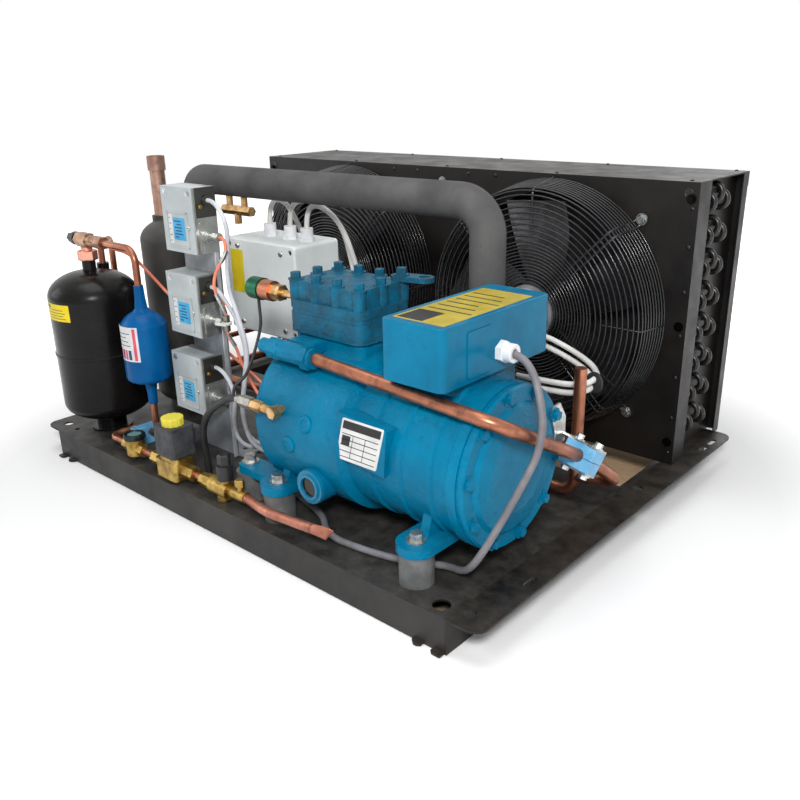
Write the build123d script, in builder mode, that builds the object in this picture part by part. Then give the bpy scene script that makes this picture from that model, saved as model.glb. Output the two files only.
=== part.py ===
from build123d import *
import math
import os

os.makedirs("parts", exist_ok=True)

# Air-cooled condensing unit: semi-hermetic compressor, receiver and controls on a
# sheet-metal base in front of a twin-fan condenser. Millimetres, +X to the compressor's
# motor end, +Y to the condenser, +Z up. Origin: middle of the footprint, on the floor.

# Base: a deck tray between two side rails
base_length = 1040.0
front_skirt = -384.5
rail_back = 382.5
tab_reach = 10.0
deck_back = 70.5
deck_top = 51.0
sheet = 3.0
rail_flange = 51.0
skirt_lip = 20.0
rail_corner_r = 20.0
rail_hole_inset = 34.0
rail_hole_front = -355.5
rail_hole_rear = 83.0
rail_hole_r = 8.5
deck_hole_r = 12.0
rail_web_x = base_length / 2 - rail_flange
rail_hole_x = base_length / 2 - rail_hole_inset

# Condenser: casing, coil block and two axial fans blowing through it
coil_half = 490.0
coil_front = 195.5
coil_back = 394.5
coil_top = 511.0
casing_sheet = 2.0
plenum_depth = 42.0
coil_block_front = 244.0
row_pitch = 26.0
row_count = 3
bend_count = 8
tube_pitch = 26.4
bend_tube_r = 4.8
first_bend_z = 91.0
bend_stand = 3.2
sheet_inset = 22.0
fin_clear = 0.5
fin_grooves = 38
groove_depth = 6.0
groove_width = 3.0
fan_x = 240.0
fan_z = 288.0
shroud_r = 196.0
shroud_lip = 14.0
guard_r = 216.0
guard_depth = 68.0
guard_wire = 2.4
guard_rings = 6
guard_side_rings = 3
guard_spokes = 8
fan_hub_r = 52.0
blade_tip_r = 180.0
blade_count = 5
motor_r = 46.0
motor_length = 48.0
fan_shaft_r = 6.0
run_fit = 0.06

# Compressor: crank end to the left, motor end to the right, axis along X
comp_y = -224.5
comp_z = 190.0
comp_left = 74.0
crankcase_r = 119.0
crankcase_end = 250.0
motor_case_r = 107.0
motor_case_end = 428.0
flange_end = 446.0
flange_r = 114.0
case_wall = 11.0
crank_wall_x = 242.0
shaft_r = 14.0
shaft_left = 66.0
shaft_right = 414.0
stator_length = 120.0
stator_left = 272.0
stator_bore = 56.0
rotor_gap = 0.8
mount_front = -340.5
mount_rear = -108.5
mount_x = (120.0, 388.0)
spacer_r = 23.5
spacer_height = 46.0
foot_height = 13.0
bank_x0 = 92.0
bank_x1 = 241.0
bank_half = 54.0
plate_z = 352.0
plate_height = 7.0
head_top = 398.0
bore_r = 27.5
cylinder_x = (128.0, 200.0)
crank_throw = 14.0
seat_clear = 0.3
socket_clear = 0.1

# Terminal box on the motor housing
tbox_x0 = 318.0
tbox_x1 = 418.0
tbox_front = -324.5
tbox_back = -92.0
tbox_z0 = 310.0
tbox_z1 = 384.0
tbox_wall = 3.0
lid_height = 5.0
motor_cable_r = 5.0

# Receiver, drier and liquid line
receiver_x = -414.0
vessel_y = -303.5
receiver_r = 79.0
receiver_foot = 27.0
receiver_z0 = 75.0
receiver_z1 = 352.0
receiver_wall = 3.0
drier_x = -258.0
drier_r = 39.3
drier_z0 = 177.0
drier_z1 = 300.0
line_r = 6.0
line_wall = 1.0
line_y = -360.5
line_z = 72.0

# Suction side
accu_x = -398.0
accu_y = -120.5
accu_r = 72.0
accu_top = 425.0
accu_wall = 8.0
suction_r = 14.0
insulation_r = 26.5
stub_x = -424.0
stub_y = -134.5
stub_top = 538.0
drop_x = 297.0
drop_y = -70.5
suction_z = 497.0

# Discharge side: hot gas line round the motor end, its clamp and its run to the coil
hot_r = 9.0
hot_wall = 1.2
hot_start = (182.0, -309.5, 304.0)
hot_corner = (487.0, -303.0, 281.0)
hot_clamp = (490.0, -124.8, 182.8)
hot_exit = (490.5, -98.5, 168.3)
hot_elbow = (500.0, -6.9, 98.7)
riser_x = 428.0
riser_y = -16.0
riser_top = 262.0
riser_tee_z = 92.0
back_run_z = 64.0
header_x = -506.0
header_top = 470.0
clamp_tilt = 12.0
clamp_width = 47.0
clamp_height = 34.0
clamp_depth = 28.0
clamp_plate = 3.0

# Instrument stand, pressure switches and control box
stand_y = -241.5
stand_x0 = -204.0
stand_x1 = -108.0
stand_top = 505.0
stand_sheet = 2.5
switch_x = (-146.0, -158.0, -169.0)
switch_z = (461.5, 323.5, 184.5)
switch_width = 84.0
switch_height = 102.0
switch_depth = 43.0
ctrl_x0 = -273.0
ctrl_x1 = -83.0
ctrl_front = -104.5
ctrl_depth = 104.0
ctrl_z0 = 228.0
ctrl_z1 = 399.0
ctrl_lid = 24.0
ctrl_wall = 3.0


saved = {}


def save(part, label):
    """Add the finished piece to its node and write the node's STEP file."""
    saved.setdefault(label, []).extend(part.solids())
    node = Compound(saved[label])
    node.label = label
    export_step(node, "parts/" + label + ".step")


def arc_radii(points, share=0.45, limit=1000.0):
    """Largest tangent arc at each corner, from the shorter run beside it."""
    pts = [Vector(*p) for p in points]
    radii = []
    for a, b, c in zip(pts, pts[1:], pts[2:]):
        turn = math.radians((b - a).get_angle(c - b))
        shorter = min((b - a).length, (c - b).length)
        radii.append(min(limit, share * shorter / math.tan(turn / 2)))
    return radii


def tube(points, outer, inner=0.0, limit=1000.0, name=""):
    """A round tube or cable along straight runs joined by tangent arcs."""
    radii = arc_radii(points, limit=limit)
    with BuildPart() as made:
        with BuildLine() as route:
            FilletPolyline(*points, radius=radii)
        with BuildSketch(Plane(origin=route.line @ 0, z_dir=route.line % 0)):
            Circle(outer)
            if inner > 0:
                Circle(inner, mode=Mode.SUBTRACT)
        sweep(path=route.line)
    length = route.wires()[0].length
    section = math.pi * (outer**2 - inner**2)
    if name:
        ratio = made.part.volume / (section * length)
        print(f"{name}: length {length:.0f}, volume ratio {ratio:.4f}, "
              f"radii {[round(r, 1) for r in radii]}")
    return made.part


def bolt_on(plane, across, head, washer=1.5):
    """Hex head on a round washer, seated on a plane, added to the open part."""
    with BuildSketch(plane) as ring:
        Circle(across * 0.85)
    extrude(ring.sketch, amount=washer)
    with BuildSketch(plane.offset(washer)) as hexagon:
        RegularPolygon(across / 2, 6, major_radius=False)
    extrude(hexagon.sketch, amount=head)


def facing(x, y, z, direction):
    """Plane at a point, looking along a direction."""
    return Plane(origin=(x, y, z), z_dir=direction)


mount_points = [(x, y) for x in mount_x for y in (mount_front, mount_rear)] + [(33, -321.5)]

# Deck tray: a channel with a skirt at the front and the back, lips turned in
with BuildPart() as deck_tray:
    with BuildSketch(Plane.YZ.offset(-rail_web_x)) as channel:
        with BuildLine():
            Polyline(
                (front_skirt + skirt_lip, 0),
                (front_skirt, 0),
                (front_skirt, deck_top),
                (deck_back, deck_top),
                (deck_back, 0),
                (deck_back - skirt_lip, 0),
                (deck_back - skirt_lip, sheet),
                (deck_back - sheet, sheet),
                (deck_back - sheet, deck_top - sheet),
                (front_skirt + sheet, deck_top - sheet),
                (front_skirt + sheet, sheet),
                (front_skirt + skirt_lip, sheet),
                close=True,
            )
        make_face()
    extrude(amount=2 * rail_web_x)
    with Locations((rail_web_x - 22, -362.5, deck_top)):
        Hole(deck_hole_r, depth=sheet)
    with Locations(*[(x, y, deck_top) for x, y in mount_points]):
        Hole(6.2, depth=sheet)
    with Locations((23 - rail_web_x, -360, deck_top), (rail_web_x - 67, -350, deck_top), (-330, 20, deck_top)):
        Hole(4.5, depth=sheet)
save(deck_tray.part, "deck_tray")


def side_rail(side):
    """Rail of channel section, open to the outside, with its fixing holes."""
    x_web = side * rail_web_x
    x_edge = side * base_length / 2
    with BuildPart() as rail:
        with BuildSketch(Plane.XZ.offset(-rail_back)):
            with BuildLine():
                Polyline(
                    (x_web, 0),
                    (x_edge, 0),
                    (x_edge, sheet),
                    (x_web + side * sheet, sheet),
                    (x_web + side * sheet, deck_top - sheet),
                    (x_edge, deck_top - sheet),
                    (x_edge, deck_top),
                    (x_web, deck_top),
                    close=True,
                )
            make_face()
        extrude(amount=rail_back - front_skirt)
        with BuildSketch(Plane.XY):
            with Locations((x_web + side * rail_flange * 0.45, front_skirt - tab_reach / 2 + 3)):
                RectangleRounded(rail_flange * 0.5, tab_reach + 6, 2.9)
        extrude(amount=sheet)
        corner = (
            rail.edges()
            .filter_by(Axis.Z)
            .filter_by(lambda e: e.center().Z > deck_top / 2)
            .filter_by(lambda e: abs(abs(e.center().X) - base_length / 2) < 0.1)
        )
        fillet(corner, rail_corner_r)
        with Locations(
            (side * rail_hole_x, rail_hole_front, deck_top),
            (side * rail_hole_x, rail_hole_rear, deck_top),
        ):
            Hole(rail_hole_r, depth=deck_top)
        with BuildSketch(Plane.XY.offset(deck_top)):
            with Locations((side * 503, 293), (side * 503, 330), (side * 503, -250)):
                SlotOverall(26, 9, rotation=90)
        extrude(amount=-sheet, mode=Mode.SUBTRACT)
    return rail.part


save(side_rail(-1), "side_rails")
save(side_rail(1), "side_rails")

# Fan shroud: front panel with two flared openings, folded sides and a folded bottom
with BuildPart() as fan_shroud:
    with BuildSketch(Plane.XZ.offset(-coil_front)):
        with Locations((0, (deck_top + coil_top) / 2)):
            Rectangle(2 * coil_half, coil_top - deck_top)
        with Locations((-fan_x, fan_z), (fan_x, fan_z)):
            Circle(shroud_r, mode=Mode.SUBTRACT)
    extrude(amount=-casing_sheet)
    with BuildSketch(Plane.XZ.offset(-coil_front - casing_sheet)):
        with Locations((-fan_x, fan_z), (fan_x, fan_z)):
            Circle(shroud_r + casing_sheet)
            Circle(shroud_r, mode=Mode.SUBTRACT)
    extrude(amount=-shroud_lip)
    with BuildSketch(Plane.XY.offset(deck_top)):
        for side in (-1, 1):
            with Locations((side * (coil_half - casing_sheet / 2), coil_front + plenum_depth / 2)):
                Rectangle(casing_sheet, plenum_depth)
    extrude(amount=coil_top - deck_top)
    with BuildSketch(Plane.XY.offset(deck_top)):
        with Locations((0, coil_front + plenum_depth / 2)):
            Rectangle(2 * coil_half, plenum_depth)
    extrude(amount=casing_sheet)
save(fan_shroud.part, "fan_shroud")

# Top cover: a shallow pan over shroud and coil
with BuildPart() as top_cover:
    with BuildSketch(Plane.XY.offset(coil_top - casing_sheet)):
        with Locations((0, (coil_front + casing_sheet + coil_back) / 2)):
            Rectangle(2 * (coil_half - casing_sheet), coil_back - coil_front - casing_sheet)
    extrude(amount=casing_sheet)
    with BuildSketch(Plane.XZ.offset(-coil_back)):
        with Locations((0, coil_top - 13)):
            Rectangle(2 * (coil_half - casing_sheet), 22)
    extrude(amount=casing_sheet)
save(top_cover.part, "condenser_top_cover")

tube_sheet_x = coil_half - sheet_inset
row_y = [coil_block_front + row_pitch * (i + 0.75) for i in range(row_count)]
bend_pitch = 2 * tube_pitch


def end_plate(side):
    """Tube sheet at one end of the coil, its front and rear edges turned outwards."""
    x_web = side * tube_sheet_x
    x_flange = side * (coil_half - casing_sheet)
    y0 = coil_front + plenum_depth
    y1 = coil_back - casing_sheet
    with BuildPart() as plate:
        with BuildSketch(Plane.XY.offset(deck_top)):
            with BuildLine():
                Polyline(
                    (x_flange, y0),
                    (x_web, y0),
                    (x_web, y1),
                    (x_flange, y1),
                    (x_flange, y1 - 20),
                    (x_flange - side * casing_sheet, y1 - 20),
                    (x_flange - side * casing_sheet, y1 - casing_sheet),
                    (x_web + side * casing_sheet, y1 - casing_sheet),
                    (x_web + side * casing_sheet, y0 + casing_sheet),
                    (x_flange, y0 + casing_sheet),
                    close=True,
                )
            make_face()
        extrude(amount=coil_top - casing_sheet - deck_top)
    return plate.part


save(end_plate(-1), "end_plates")
save(end_plate(1), "end_plates")

# Fin pack: finned coil block with vertical grooves between groups of fins
fin_half = tube_sheet_x - fin_clear
with BuildPart() as fin_pack:
    fin_y0 = coil_block_front
    fin_y1 = coil_back - 8
    fin_z0 = deck_top + casing_sheet + fin_clear
    fin_z1 = coil_top - casing_sheet - fin_clear
    with BuildSketch(Plane.XY.offset(fin_z0)):
        with Locations((0, (fin_y0 + fin_y1) / 2)):
            Rectangle(2 * tube_sheet_x, fin_y1 - fin_y0)
        with Locations((0, fin_y0), (0, fin_y1)):
            with GridLocations(2 * fin_half / fin_grooves, 1, fin_grooves, 1):
                Rectangle(groove_width, 2 * groove_depth, mode=Mode.SUBTRACT)
    extrude(amount=fin_z1 - fin_z0)
save(fin_pack.part, "fin_pack")


def hairpin(x_face, y, z_low, side):
    """One return bend between two tubes that lie one pitch apart."""
    half = tube_pitch / 2
    with BuildPart() as bend:
        with BuildLine() as route:
            foot = (x_face, y, z_low)
            low = (x_face + side * bend_stand, y, z_low)
            crown = (x_face + side * (bend_stand + half), y, z_low + half)
            high = (x_face + side * bend_stand, y, z_low + tube_pitch)
            end = (x_face, y, z_low + tube_pitch)
            Line(foot, low)
            ThreePointArc(low, crown, high)
            Line(high, end)
        with BuildSketch(Plane(origin=foot, z_dir=(side, 0, 0))):
            Circle(bend_tube_r)
        sweep(path=route.line)
    return bend.part


def bend_group(side):
    """All return bends at one end of the coil."""
    x_face = side * (tube_sheet_x + casing_sheet)
    with BuildPart() as bends:
        for column, y in enumerate(row_y):
            lift = tube_pitch / 2 if column % 2 else 0.0
            for i in range(bend_count):
                add(hairpin(x_face, y, first_bend_z + bend_pitch * i + lift, side))
    return bends.part


save(bend_group(-1), "return_bends")
save(bend_group(1), "return_bends")


# Fans: guard basket, outer motor part and rotor with blades, one set for each opening
guard_front = coil_front - guard_depth
motor_front = guard_front - 9
rotor_can_inner = 34.0
can_front = guard_front + 14
can_back = can_front + motor_length


def fan_plane(side, y):
    """Plane square to the fan's axis at depth y, with its normal to the front."""
    return Plane(origin=(side * fan_x, y, fan_z), x_dir=(1, 0, 0), z_dir=(0, -1, 0))


def ring_radii():
    """Radii of the rings on the guard's face, from the motor seat to the rim."""
    step = (guard_r - 8 - motor_r) / guard_rings
    return [motor_r + 4 + step * i for i in range(guard_rings)]


def fan_guard(side):
    """Wire basket: face rings, side rings and spokes bent back to the panel."""
    half = guard_wire / 2
    with BuildPart() as guard:
        for r in ring_radii():
            with BuildSketch(fan_plane(side, guard_front + guard_wire)):
                Circle(r + half)
                Circle(r - half, mode=Mode.SUBTRACT)
            extrude(amount=guard_wire)
        for i in range(guard_side_rings + 1):
            y = guard_front + 14 + (guard_depth - 14 - half) * i / guard_side_rings
            with BuildSketch(fan_plane(side, y + half)):
                Circle(guard_r + half)
                Circle(guard_r - half, mode=Mode.SUBTRACT)
            extrude(amount=guard_wire)
        for i in range(guard_spokes):
            angle = math.radians(22.5 + 360 / guard_spokes * i)
            outward = (math.cos(angle), 0, math.sin(angle))
            tangent = (-math.sin(angle), 0, math.cos(angle))
            spoke = Plane(origin=(side * fan_x, guard_front, fan_z), x_dir=outward, z_dir=tangent)
            with BuildSketch(spoke):
                with BuildLine():
                    rise = -1 if spoke.y_dir.Y < 0 else 1
                    Polyline(
                        (motor_r + 1, 0),
                        (guard_r - 12, 0),
                        (guard_r + half, rise * 13),
                        (guard_r + half, rise * guard_depth),
                        (guard_r - half, rise * guard_depth),
                        (guard_r - half, rise * 14),
                        (guard_r - 13, rise * guard_wire),
                        (motor_r + 1, rise * guard_wire),
                        close=True,
                    )
                make_face()
            extrude(amount=half, both=True)
        for angle in (45, 135, 225, 315):
            turn = math.radians(angle)
            foot = (math.cos(turn) * (guard_r + 13), math.sin(turn) * (guard_r + 13))
            with BuildSketch(fan_plane(side, coil_front)):
                with Locations((foot[0], foot[1])):
                    Rectangle(26, 14, rotation=angle)
                    Circle(3.3, mode=Mode.SUBTRACT)
            extrude(amount=2)
    return guard.part


def fan_motor(side):
    """Fixed part of the external-rotor motor: finned cover, flange and stator hub."""
    with BuildPart() as motor:
        with BuildSketch(fan_plane(side, guard_front)):
            Circle(motor_r - 3)
        extrude(amount=guard_front - motor_front)
        fillet(motor.faces().sort_by(Axis.Y)[0].edges(), 4)
        with BuildSketch(fan_plane(side, can_front - 2)):
            Circle(motor_r + 1)
        extrude(amount=can_front - 2 - guard_front)
        with BuildSketch(fan_plane(side, motor_front + 5)):
            with PolarLocations(motor_r - 13, 10):
                Rectangle(14, 3)
        extrude(amount=8)
        with BuildSketch(fan_plane(side, can_back - 8)):
            Circle(rotor_can_inner - 4)
        extrude(amount=can_back - 8 - (can_front - 3))
        with BuildSketch(fan_plane(side, can_back)):
            Circle(fan_shaft_r + run_fit)
        extrude(amount=motor_length + 6, mode=Mode.SUBTRACT)
    return motor.part


def fan_rotor(side):
    """Rotor can with its shaft and five twisted blades."""
    blade_mid = (can_front + coil_front + 10) / 2
    with BuildPart() as rotor:
        with BuildSketch(fan_plane(side, can_back)):
            Circle(fan_hub_r)
            Circle(rotor_can_inner, mode=Mode.SUBTRACT)
        extrude(amount=motor_length)
        with BuildSketch(fan_plane(side, can_back + 4)):
            Circle(fan_hub_r)
        extrude(amount=4.5)
        with BuildSketch(fan_plane(side, can_back + 1)):
            Circle(fan_shaft_r)
        extrude(amount=motor_length + 2)
        for i in range(blade_count):
            angle = math.radians(90 + 360 / blade_count * i)
            for_root = (fan_hub_r - 3, 54, 44, 0.0)
            for_mid = (0.62 * blade_tip_r, 88, 33, 0.05)
            for_tip = (blade_tip_r, 98, 25, 0.12)
            for r, chord, pitch, sweep_back in (for_root, for_mid, for_tip):
                lead = angle + sweep_back
                out = Vector(math.cos(angle), 0, math.sin(angle))
                along = Vector(-math.sin(angle), 0, math.cos(angle))
                centre = Vector(side * fan_x, blade_mid, fan_z) + out * r + along * (r * (lead - angle))
                with BuildSketch(Plane(origin=centre, x_dir=along, z_dir=out)):
                    Rectangle(chord, 3, rotation=pitch)
            loft()
    return rotor.part


for side, name in ((-1, "left"), (1, "right")):
    save(fan_guard(side), "fan_guards")
    save(fan_motor(side), "fan_motors")
    save(fan_rotor(side), "fan_rotor_" + name)

# Guard bolts: hex heads with washers on the feet of both guards
with BuildPart() as guard_bolts:
    for side in (-1, 1):
        for angle in (45, 135, 225, 315):
            turn = math.radians(angle)
            x = math.cos(turn) * (guard_r + 13)
            z = math.sin(turn) * (guard_r + 13)
            bolt_on(facing(side * fan_x + x, coil_front - 2, fan_z + z, (0, -1, 0)), 11, 4.5)
save(guard_bolts.part, "small_bolts")


# Liquid receiver: vertical vessel with domed ends, weld band and foot
with BuildPart() as receiver_shell:
    axis_plane = Plane(origin=(receiver_x, vessel_y, 0), x_dir=(1, 0, 0), z_dir=(0, -1, 0))
    shoulder = receiver_z1 - 45
    bottom = receiver_z0 + 34
    band_z = 205.0
    with BuildSketch(axis_plane):
        with BuildLine():
            low = Line((0, receiver_z0), (8, receiver_z0))
            sole = EllipticalCenterArc((8, bottom), receiver_r - 8, bottom - receiver_z0, 270, arc_size=90)
            wall = Polyline(
                sole @ 1,
                (receiver_r, band_z - 3),
                (receiver_r + 1.6, band_z - 2),
                (receiver_r + 1.6, band_z + 2),
                (receiver_r, band_z + 3),
                (receiver_r, shoulder),
            )
            crown = EllipticalCenterArc((8, shoulder), receiver_r - 8, receiver_z1 - shoulder, 0, arc_size=90)
            Line(crown @ 1, (0, receiver_z1))
            Line((0, receiver_z1), (0, receiver_z0))
        make_face()
    revolve(axis=Axis((receiver_x, vessel_y, 0), (0, 0, 1)))
    with BuildSketch(Plane.XY.offset(receiver_z1 - 6)):
        with Locations((receiver_x, vessel_y)):
            Circle(12)
    extrude(amount=24)
    with BuildSketch(Plane.XY.offset(receiver_z1 - 30)):
        with Locations((receiver_x - 26, vessel_y + 41)):
            Circle(11)
    extrude(amount=34)
    with BuildSketch(Plane.XY.offset(deck_top)):
        with Locations((receiver_x, vessel_y)):
            Circle(receiver_foot)
    extrude(amount=receiver_z0 - deck_top + 8)
    with BuildSketch(Plane.XY.offset(deck_top)):
        with Locations((receiver_x, vessel_y)):
            Circle(receiver_foot + 10)
    extrude(amount=3)
    with BuildSketch(axis_plane):
        with BuildLine():
            inner_low = Line((0, receiver_z0 + receiver_wall), (8, receiver_z0 + receiver_wall))
            inner_r = receiver_r - 8 - receiver_wall
            inner_low_rise = bottom - receiver_z0 - receiver_wall
            inner_top_rise = receiver_z1 - shoulder - receiver_wall
            inner_sole = EllipticalCenterArc((8, bottom), inner_r, inner_low_rise, 270, arc_size=90)
            inner_crown = EllipticalCenterArc((8, shoulder), inner_r, inner_top_rise, 0, arc_size=90)
            Line(inner_sole @ 1, inner_crown @ 0)
            Line(inner_crown @ 1, (0, receiver_z1 - receiver_wall))
            Line((0, receiver_z1 - receiver_wall), (0, receiver_z0 + receiver_wall))
        make_face()
    revolve(axis=Axis((receiver_x, vessel_y, 0), (0, 0, 1)), mode=Mode.SUBTRACT)
save(receiver_shell.part, "receiver_shell")

neck_top = receiver_z1 + 18
valve_axis_z = 406.0
valve_port_x = -352.0

# Union nut that holds the receiver's valve on its neck
with BuildPart() as receiver_nut:
    with BuildSketch(Plane.XY.offset(neck_top)):
        with Locations((receiver_x, vessel_y)):
            RegularPolygon(15, 6, major_radius=False)
    extrude(amount=18)
    chamfer(receiver_nut.faces().filter_by(Axis.Z).edges(), 1.5)
save(receiver_nut.part, "receiver_valve")

# Receiver valve: brass body on a vertical stem, capped spindle to the left
with BuildPart() as receiver_valve:
    with BuildSketch(Plane.XY.offset(neck_top + 18)):
        with Locations((receiver_x, vessel_y)):
            Circle(10)
    extrude(amount=valve_axis_z - neck_top - 18)
    with BuildSketch(Plane.YZ.offset(receiver_x - 20)):
        with Locations((vessel_y, valve_axis_z)):
            RegularPolygon(12, 6, major_radius=False)
    extrude(amount=36)
    with BuildSketch(Plane.YZ.offset(receiver_x + 16)):
        with Locations((vessel_y, valve_axis_z)):
            Circle(10.5)
    extrude(amount=26)
    with BuildSketch(Plane.YZ.offset(receiver_x + 42)):
        with Locations((vessel_y, valve_axis_z)):
            RegularPolygon(10, 6, major_radius=False)
    extrude(amount=valve_port_x - receiver_x - 42)
    with BuildSketch(Plane.YZ.offset(receiver_x - 26)):
        with Locations((vessel_y, valve_axis_z)):
            Circle(7)
    extrude(amount=7)
save(receiver_valve.part, "receiver_valve")

with BuildPart() as receiver_valve_cap:
    cap_end = receiver_x - 26
    with BuildSketch(Plane.YZ.offset(cap_end)):
        with Locations((vessel_y, valve_axis_z)):
            Circle(12)
    extrude(amount=-9)
    with BuildSketch(Plane.YZ.offset(cap_end - 9)):
        with Locations((vessel_y, valve_axis_z)):
            RegularPolygon(8, 6, major_radius=False)
    extrude(amount=-17)
    chamfer(receiver_valve_cap.faces().sort_by(Axis.X)[0].edges(), 2)
save(receiver_valve_cap.part, "valve_caps")

# Copper pipe from the receiver valve over to the drier's top neck
drier_neck_top = drier_z1 + 45
drier_neck_low = drier_z0 - 44
save(
    tube(
        [
            (valve_port_x, vessel_y, valve_axis_z),
            (drier_x, vessel_y, valve_axis_z),
            (drier_x, vessel_y, drier_neck_top),
        ],
        line_r,
        line_r - line_wall,
        limit=24,
        name="receiver_pipe",
    ),
    "liquid_pipes",
)

# Filter drier: spun canister with tapered necks
with BuildPart() as filter_drier:
    with BuildSketch(Plane(origin=(drier_x, vessel_y, 0), x_dir=(1, 0, 0), z_dir=(0, -1, 0))):
        with BuildLine():
            Line((0, drier_neck_low), (line_r + 2, drier_neck_low))
            Polyline(
                (line_r + 2, drier_neck_low),
                (line_r + 2.5, drier_z0 - 22),
                (line_r + 5, drier_z0 - 6),
                (line_r + 9, drier_z0),
            )
            Line((line_r + 9, drier_z0), (drier_r - 9, drier_z0 + 1))
            ThreePointArc(
                (drier_r - 9, drier_z0 + 1), (drier_r - 2.4, drier_z0 + 4.4), (drier_r, drier_z0 + 12)
            )
            Line((drier_r, drier_z0 + 12), (drier_r, drier_z1 - 22))
            ThreePointArc(
                (drier_r, drier_z1 - 22), (drier_r - 11, drier_z1 - 8), (line_r + 10, drier_z1)
            )
            Polyline(
                (line_r + 10, drier_z1),
                (line_r + 5, drier_z1 + 6),
                (line_r + 3, drier_z1 + 24),
                (line_r + 2, drier_neck_top),
                (0, drier_neck_top),
                (0, drier_neck_low),
            )
        make_face()
    revolve(axis=Axis((drier_x, vessel_y, 0), (0, 0, 1)))
    for end, deep in ((drier_neck_top, -30), (drier_neck_low, 30)):
        with BuildSketch(Plane.XY.offset(end)):
            with Locations((drier_x, vessel_y)):
                Circle(line_r - line_wall)
        extrude(amount=deep, mode=Mode.SUBTRACT)
save(filter_drier.part, "filter_drier")

# Copper loop from the drier down to the sight glass on the deck
glass_x = -238.0
glass_half = 30.0
loop_x = -318.0
save(
    tube(
        [
            (drier_x, vessel_y, drier_neck_low),
            (drier_x, vessel_y, line_z),
            (loop_x, vessel_y, line_z),
            (loop_x, line_y, line_z),
            (glass_x - glass_half, line_y, line_z),
        ],
        line_r,
        line_r - line_wall,
        limit=18,
        name="drier_pipe",
    ),
    "liquid_pipes",
)

# Small plastic clamp that holds the loop on the deck
loop_clamp_x = -288.0
with BuildPart() as loop_clamp:
    with BuildSketch(Plane.XY.offset(deck_top)):
        with Locations((loop_clamp_x, vessel_y - 7)):
            Rectangle(19, 46)
    extrude(amount=line_z + 12 - deck_top)
    with BuildSketch(Plane.YZ.offset(loop_clamp_x)):
        with Locations((vessel_y, line_z)):
            Circle(line_r + seat_clear)
    extrude(amount=20, both=True, mode=Mode.SUBTRACT)
    chamfer(loop_clamp.faces().sort_by(Axis.Z)[-1].edges(), 1.5)
    with Locations((loop_clamp_x, vessel_y - 22, line_z + 12)):
        CounterBoreHole(3, 5, 4, depth=30)
save(loop_clamp.part, "pipe_clamps")

# Sight glass: brass body with hex ends and a ring round the window
with BuildPart() as sight_glass_body:
    with BuildSketch(Plane.XY.offset(line_z - 15)):
        with Locations((glass_x, line_y)):
            Circle(16)
    extrude(amount=32)
    chamfer(sight_glass_body.faces().sort_by(Axis.Z)[0].edges(), 3)
    for end in (-1, 1):
        with BuildSketch(Plane.YZ.offset(glass_x + end * glass_half)):
            with Locations((line_y, line_z)):
                RegularPolygon(10, 6, major_radius=False)
        extrude(amount=-end * 17)
save(sight_glass_body.part, "sight_glass_body")

with BuildPart() as sight_glass_ring:
    with BuildSketch(Plane.XY.offset(line_z + 17)):
        with Locations((glass_x, line_y)):
            RegularPolygon(18, 12, major_radius=False)
            Circle(12, mode=Mode.SUBTRACT)
    extrude(amount=9)
    chamfer(sight_glass_ring.faces().sort_by(Axis.Z)[-1].edges(), 1.2)
save(sight_glass_ring.part, "glass_rings")

with BuildPart() as sight_glass_window:
    with BuildSketch(Plane.XY.offset(line_z + 17)):
        with Locations((glass_x, line_y)):
            Circle(11.9)
    extrude(amount=7)
save(sight_glass_window.part, "sight_windows")


def straight_pipe(x0, x1):
    """Straight piece of the liquid line between two fittings."""
    with BuildPart() as pipe:
        with BuildSketch(Plane.YZ.offset(x0)):
            with Locations((line_y, line_z)):
                Circle(line_r)
                Circle(line_r - line_wall, mode=Mode.SUBTRACT)
        extrude(amount=x1 - x0)
    return pipe.part


# Short copper link from the sight glass to the solenoid valve
valve_x = -119.0
valve_half = 58.0
save(straight_pipe(glass_x + glass_half, valve_x - valve_half), "liquid_pipes")

# Solenoid valve: forged brass body, boxed coil and a retaining cap
with BuildPart() as solenoid_body:
    with BuildSketch(Plane.XY.offset(line_z - 17)):
        with Locations((valve_x, line_y)):
            RectangleRounded(58, 40, 8)
    extrude(amount=32)
    with BuildSketch(Plane.YZ.offset(valve_x - valve_half)):
        with Locations((line_y, line_z)):
            RegularPolygon(11, 6, major_radius=False)
    extrude(amount=2 * valve_half)
    with BuildSketch(Plane.XY.offset(line_z + 15)):
        with Locations((valve_x + 7, line_y)):
            RectangleRounded(48, 38, 8)
    extrude(amount=8)
    with BuildSketch(Plane.XY.offset(line_z + 22)):
        with Locations((valve_x + 7, line_y)):
            Circle(7)
    extrude(amount=54)
    with BuildSketch(Plane.XY.offset(line_z + 23)):
        with Locations((valve_x + 7, line_y)):
            Circle(11)
    extrude(amount=2)
    with BuildSketch(Plane.XY.offset(line_z + 30)):
        with Locations((valve_x + 7, line_y)):
            Circle(5)
    extrude(amount=40, mode=Mode.SUBTRACT)
save(solenoid_body.part, "solenoid_body")

coil_low = line_z + 25
coil_height = 51.0
with BuildPart() as solenoid_coil:
    with BuildSketch(Plane.XY.offset(coil_low)):
        with Locations((valve_x + 7, line_y)):
            RectangleRounded(50, 46, 5)
    extrude(amount=coil_height)
    with BuildSketch(Plane.XZ.offset(-(line_y + 23))):
        with Locations((valve_x + 7, coil_low + coil_height / 2)):
            RectangleRounded(28, 28, 3)
    extrude(amount=-18)
    with BuildSketch(Plane.XY.offset(coil_low)):
        with Locations((valve_x + 7, line_y)):
            Circle(7 + seat_clear)
    extrude(amount=coil_height, mode=Mode.SUBTRACT)
save(solenoid_coil.part, "solenoid_coil")

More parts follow.
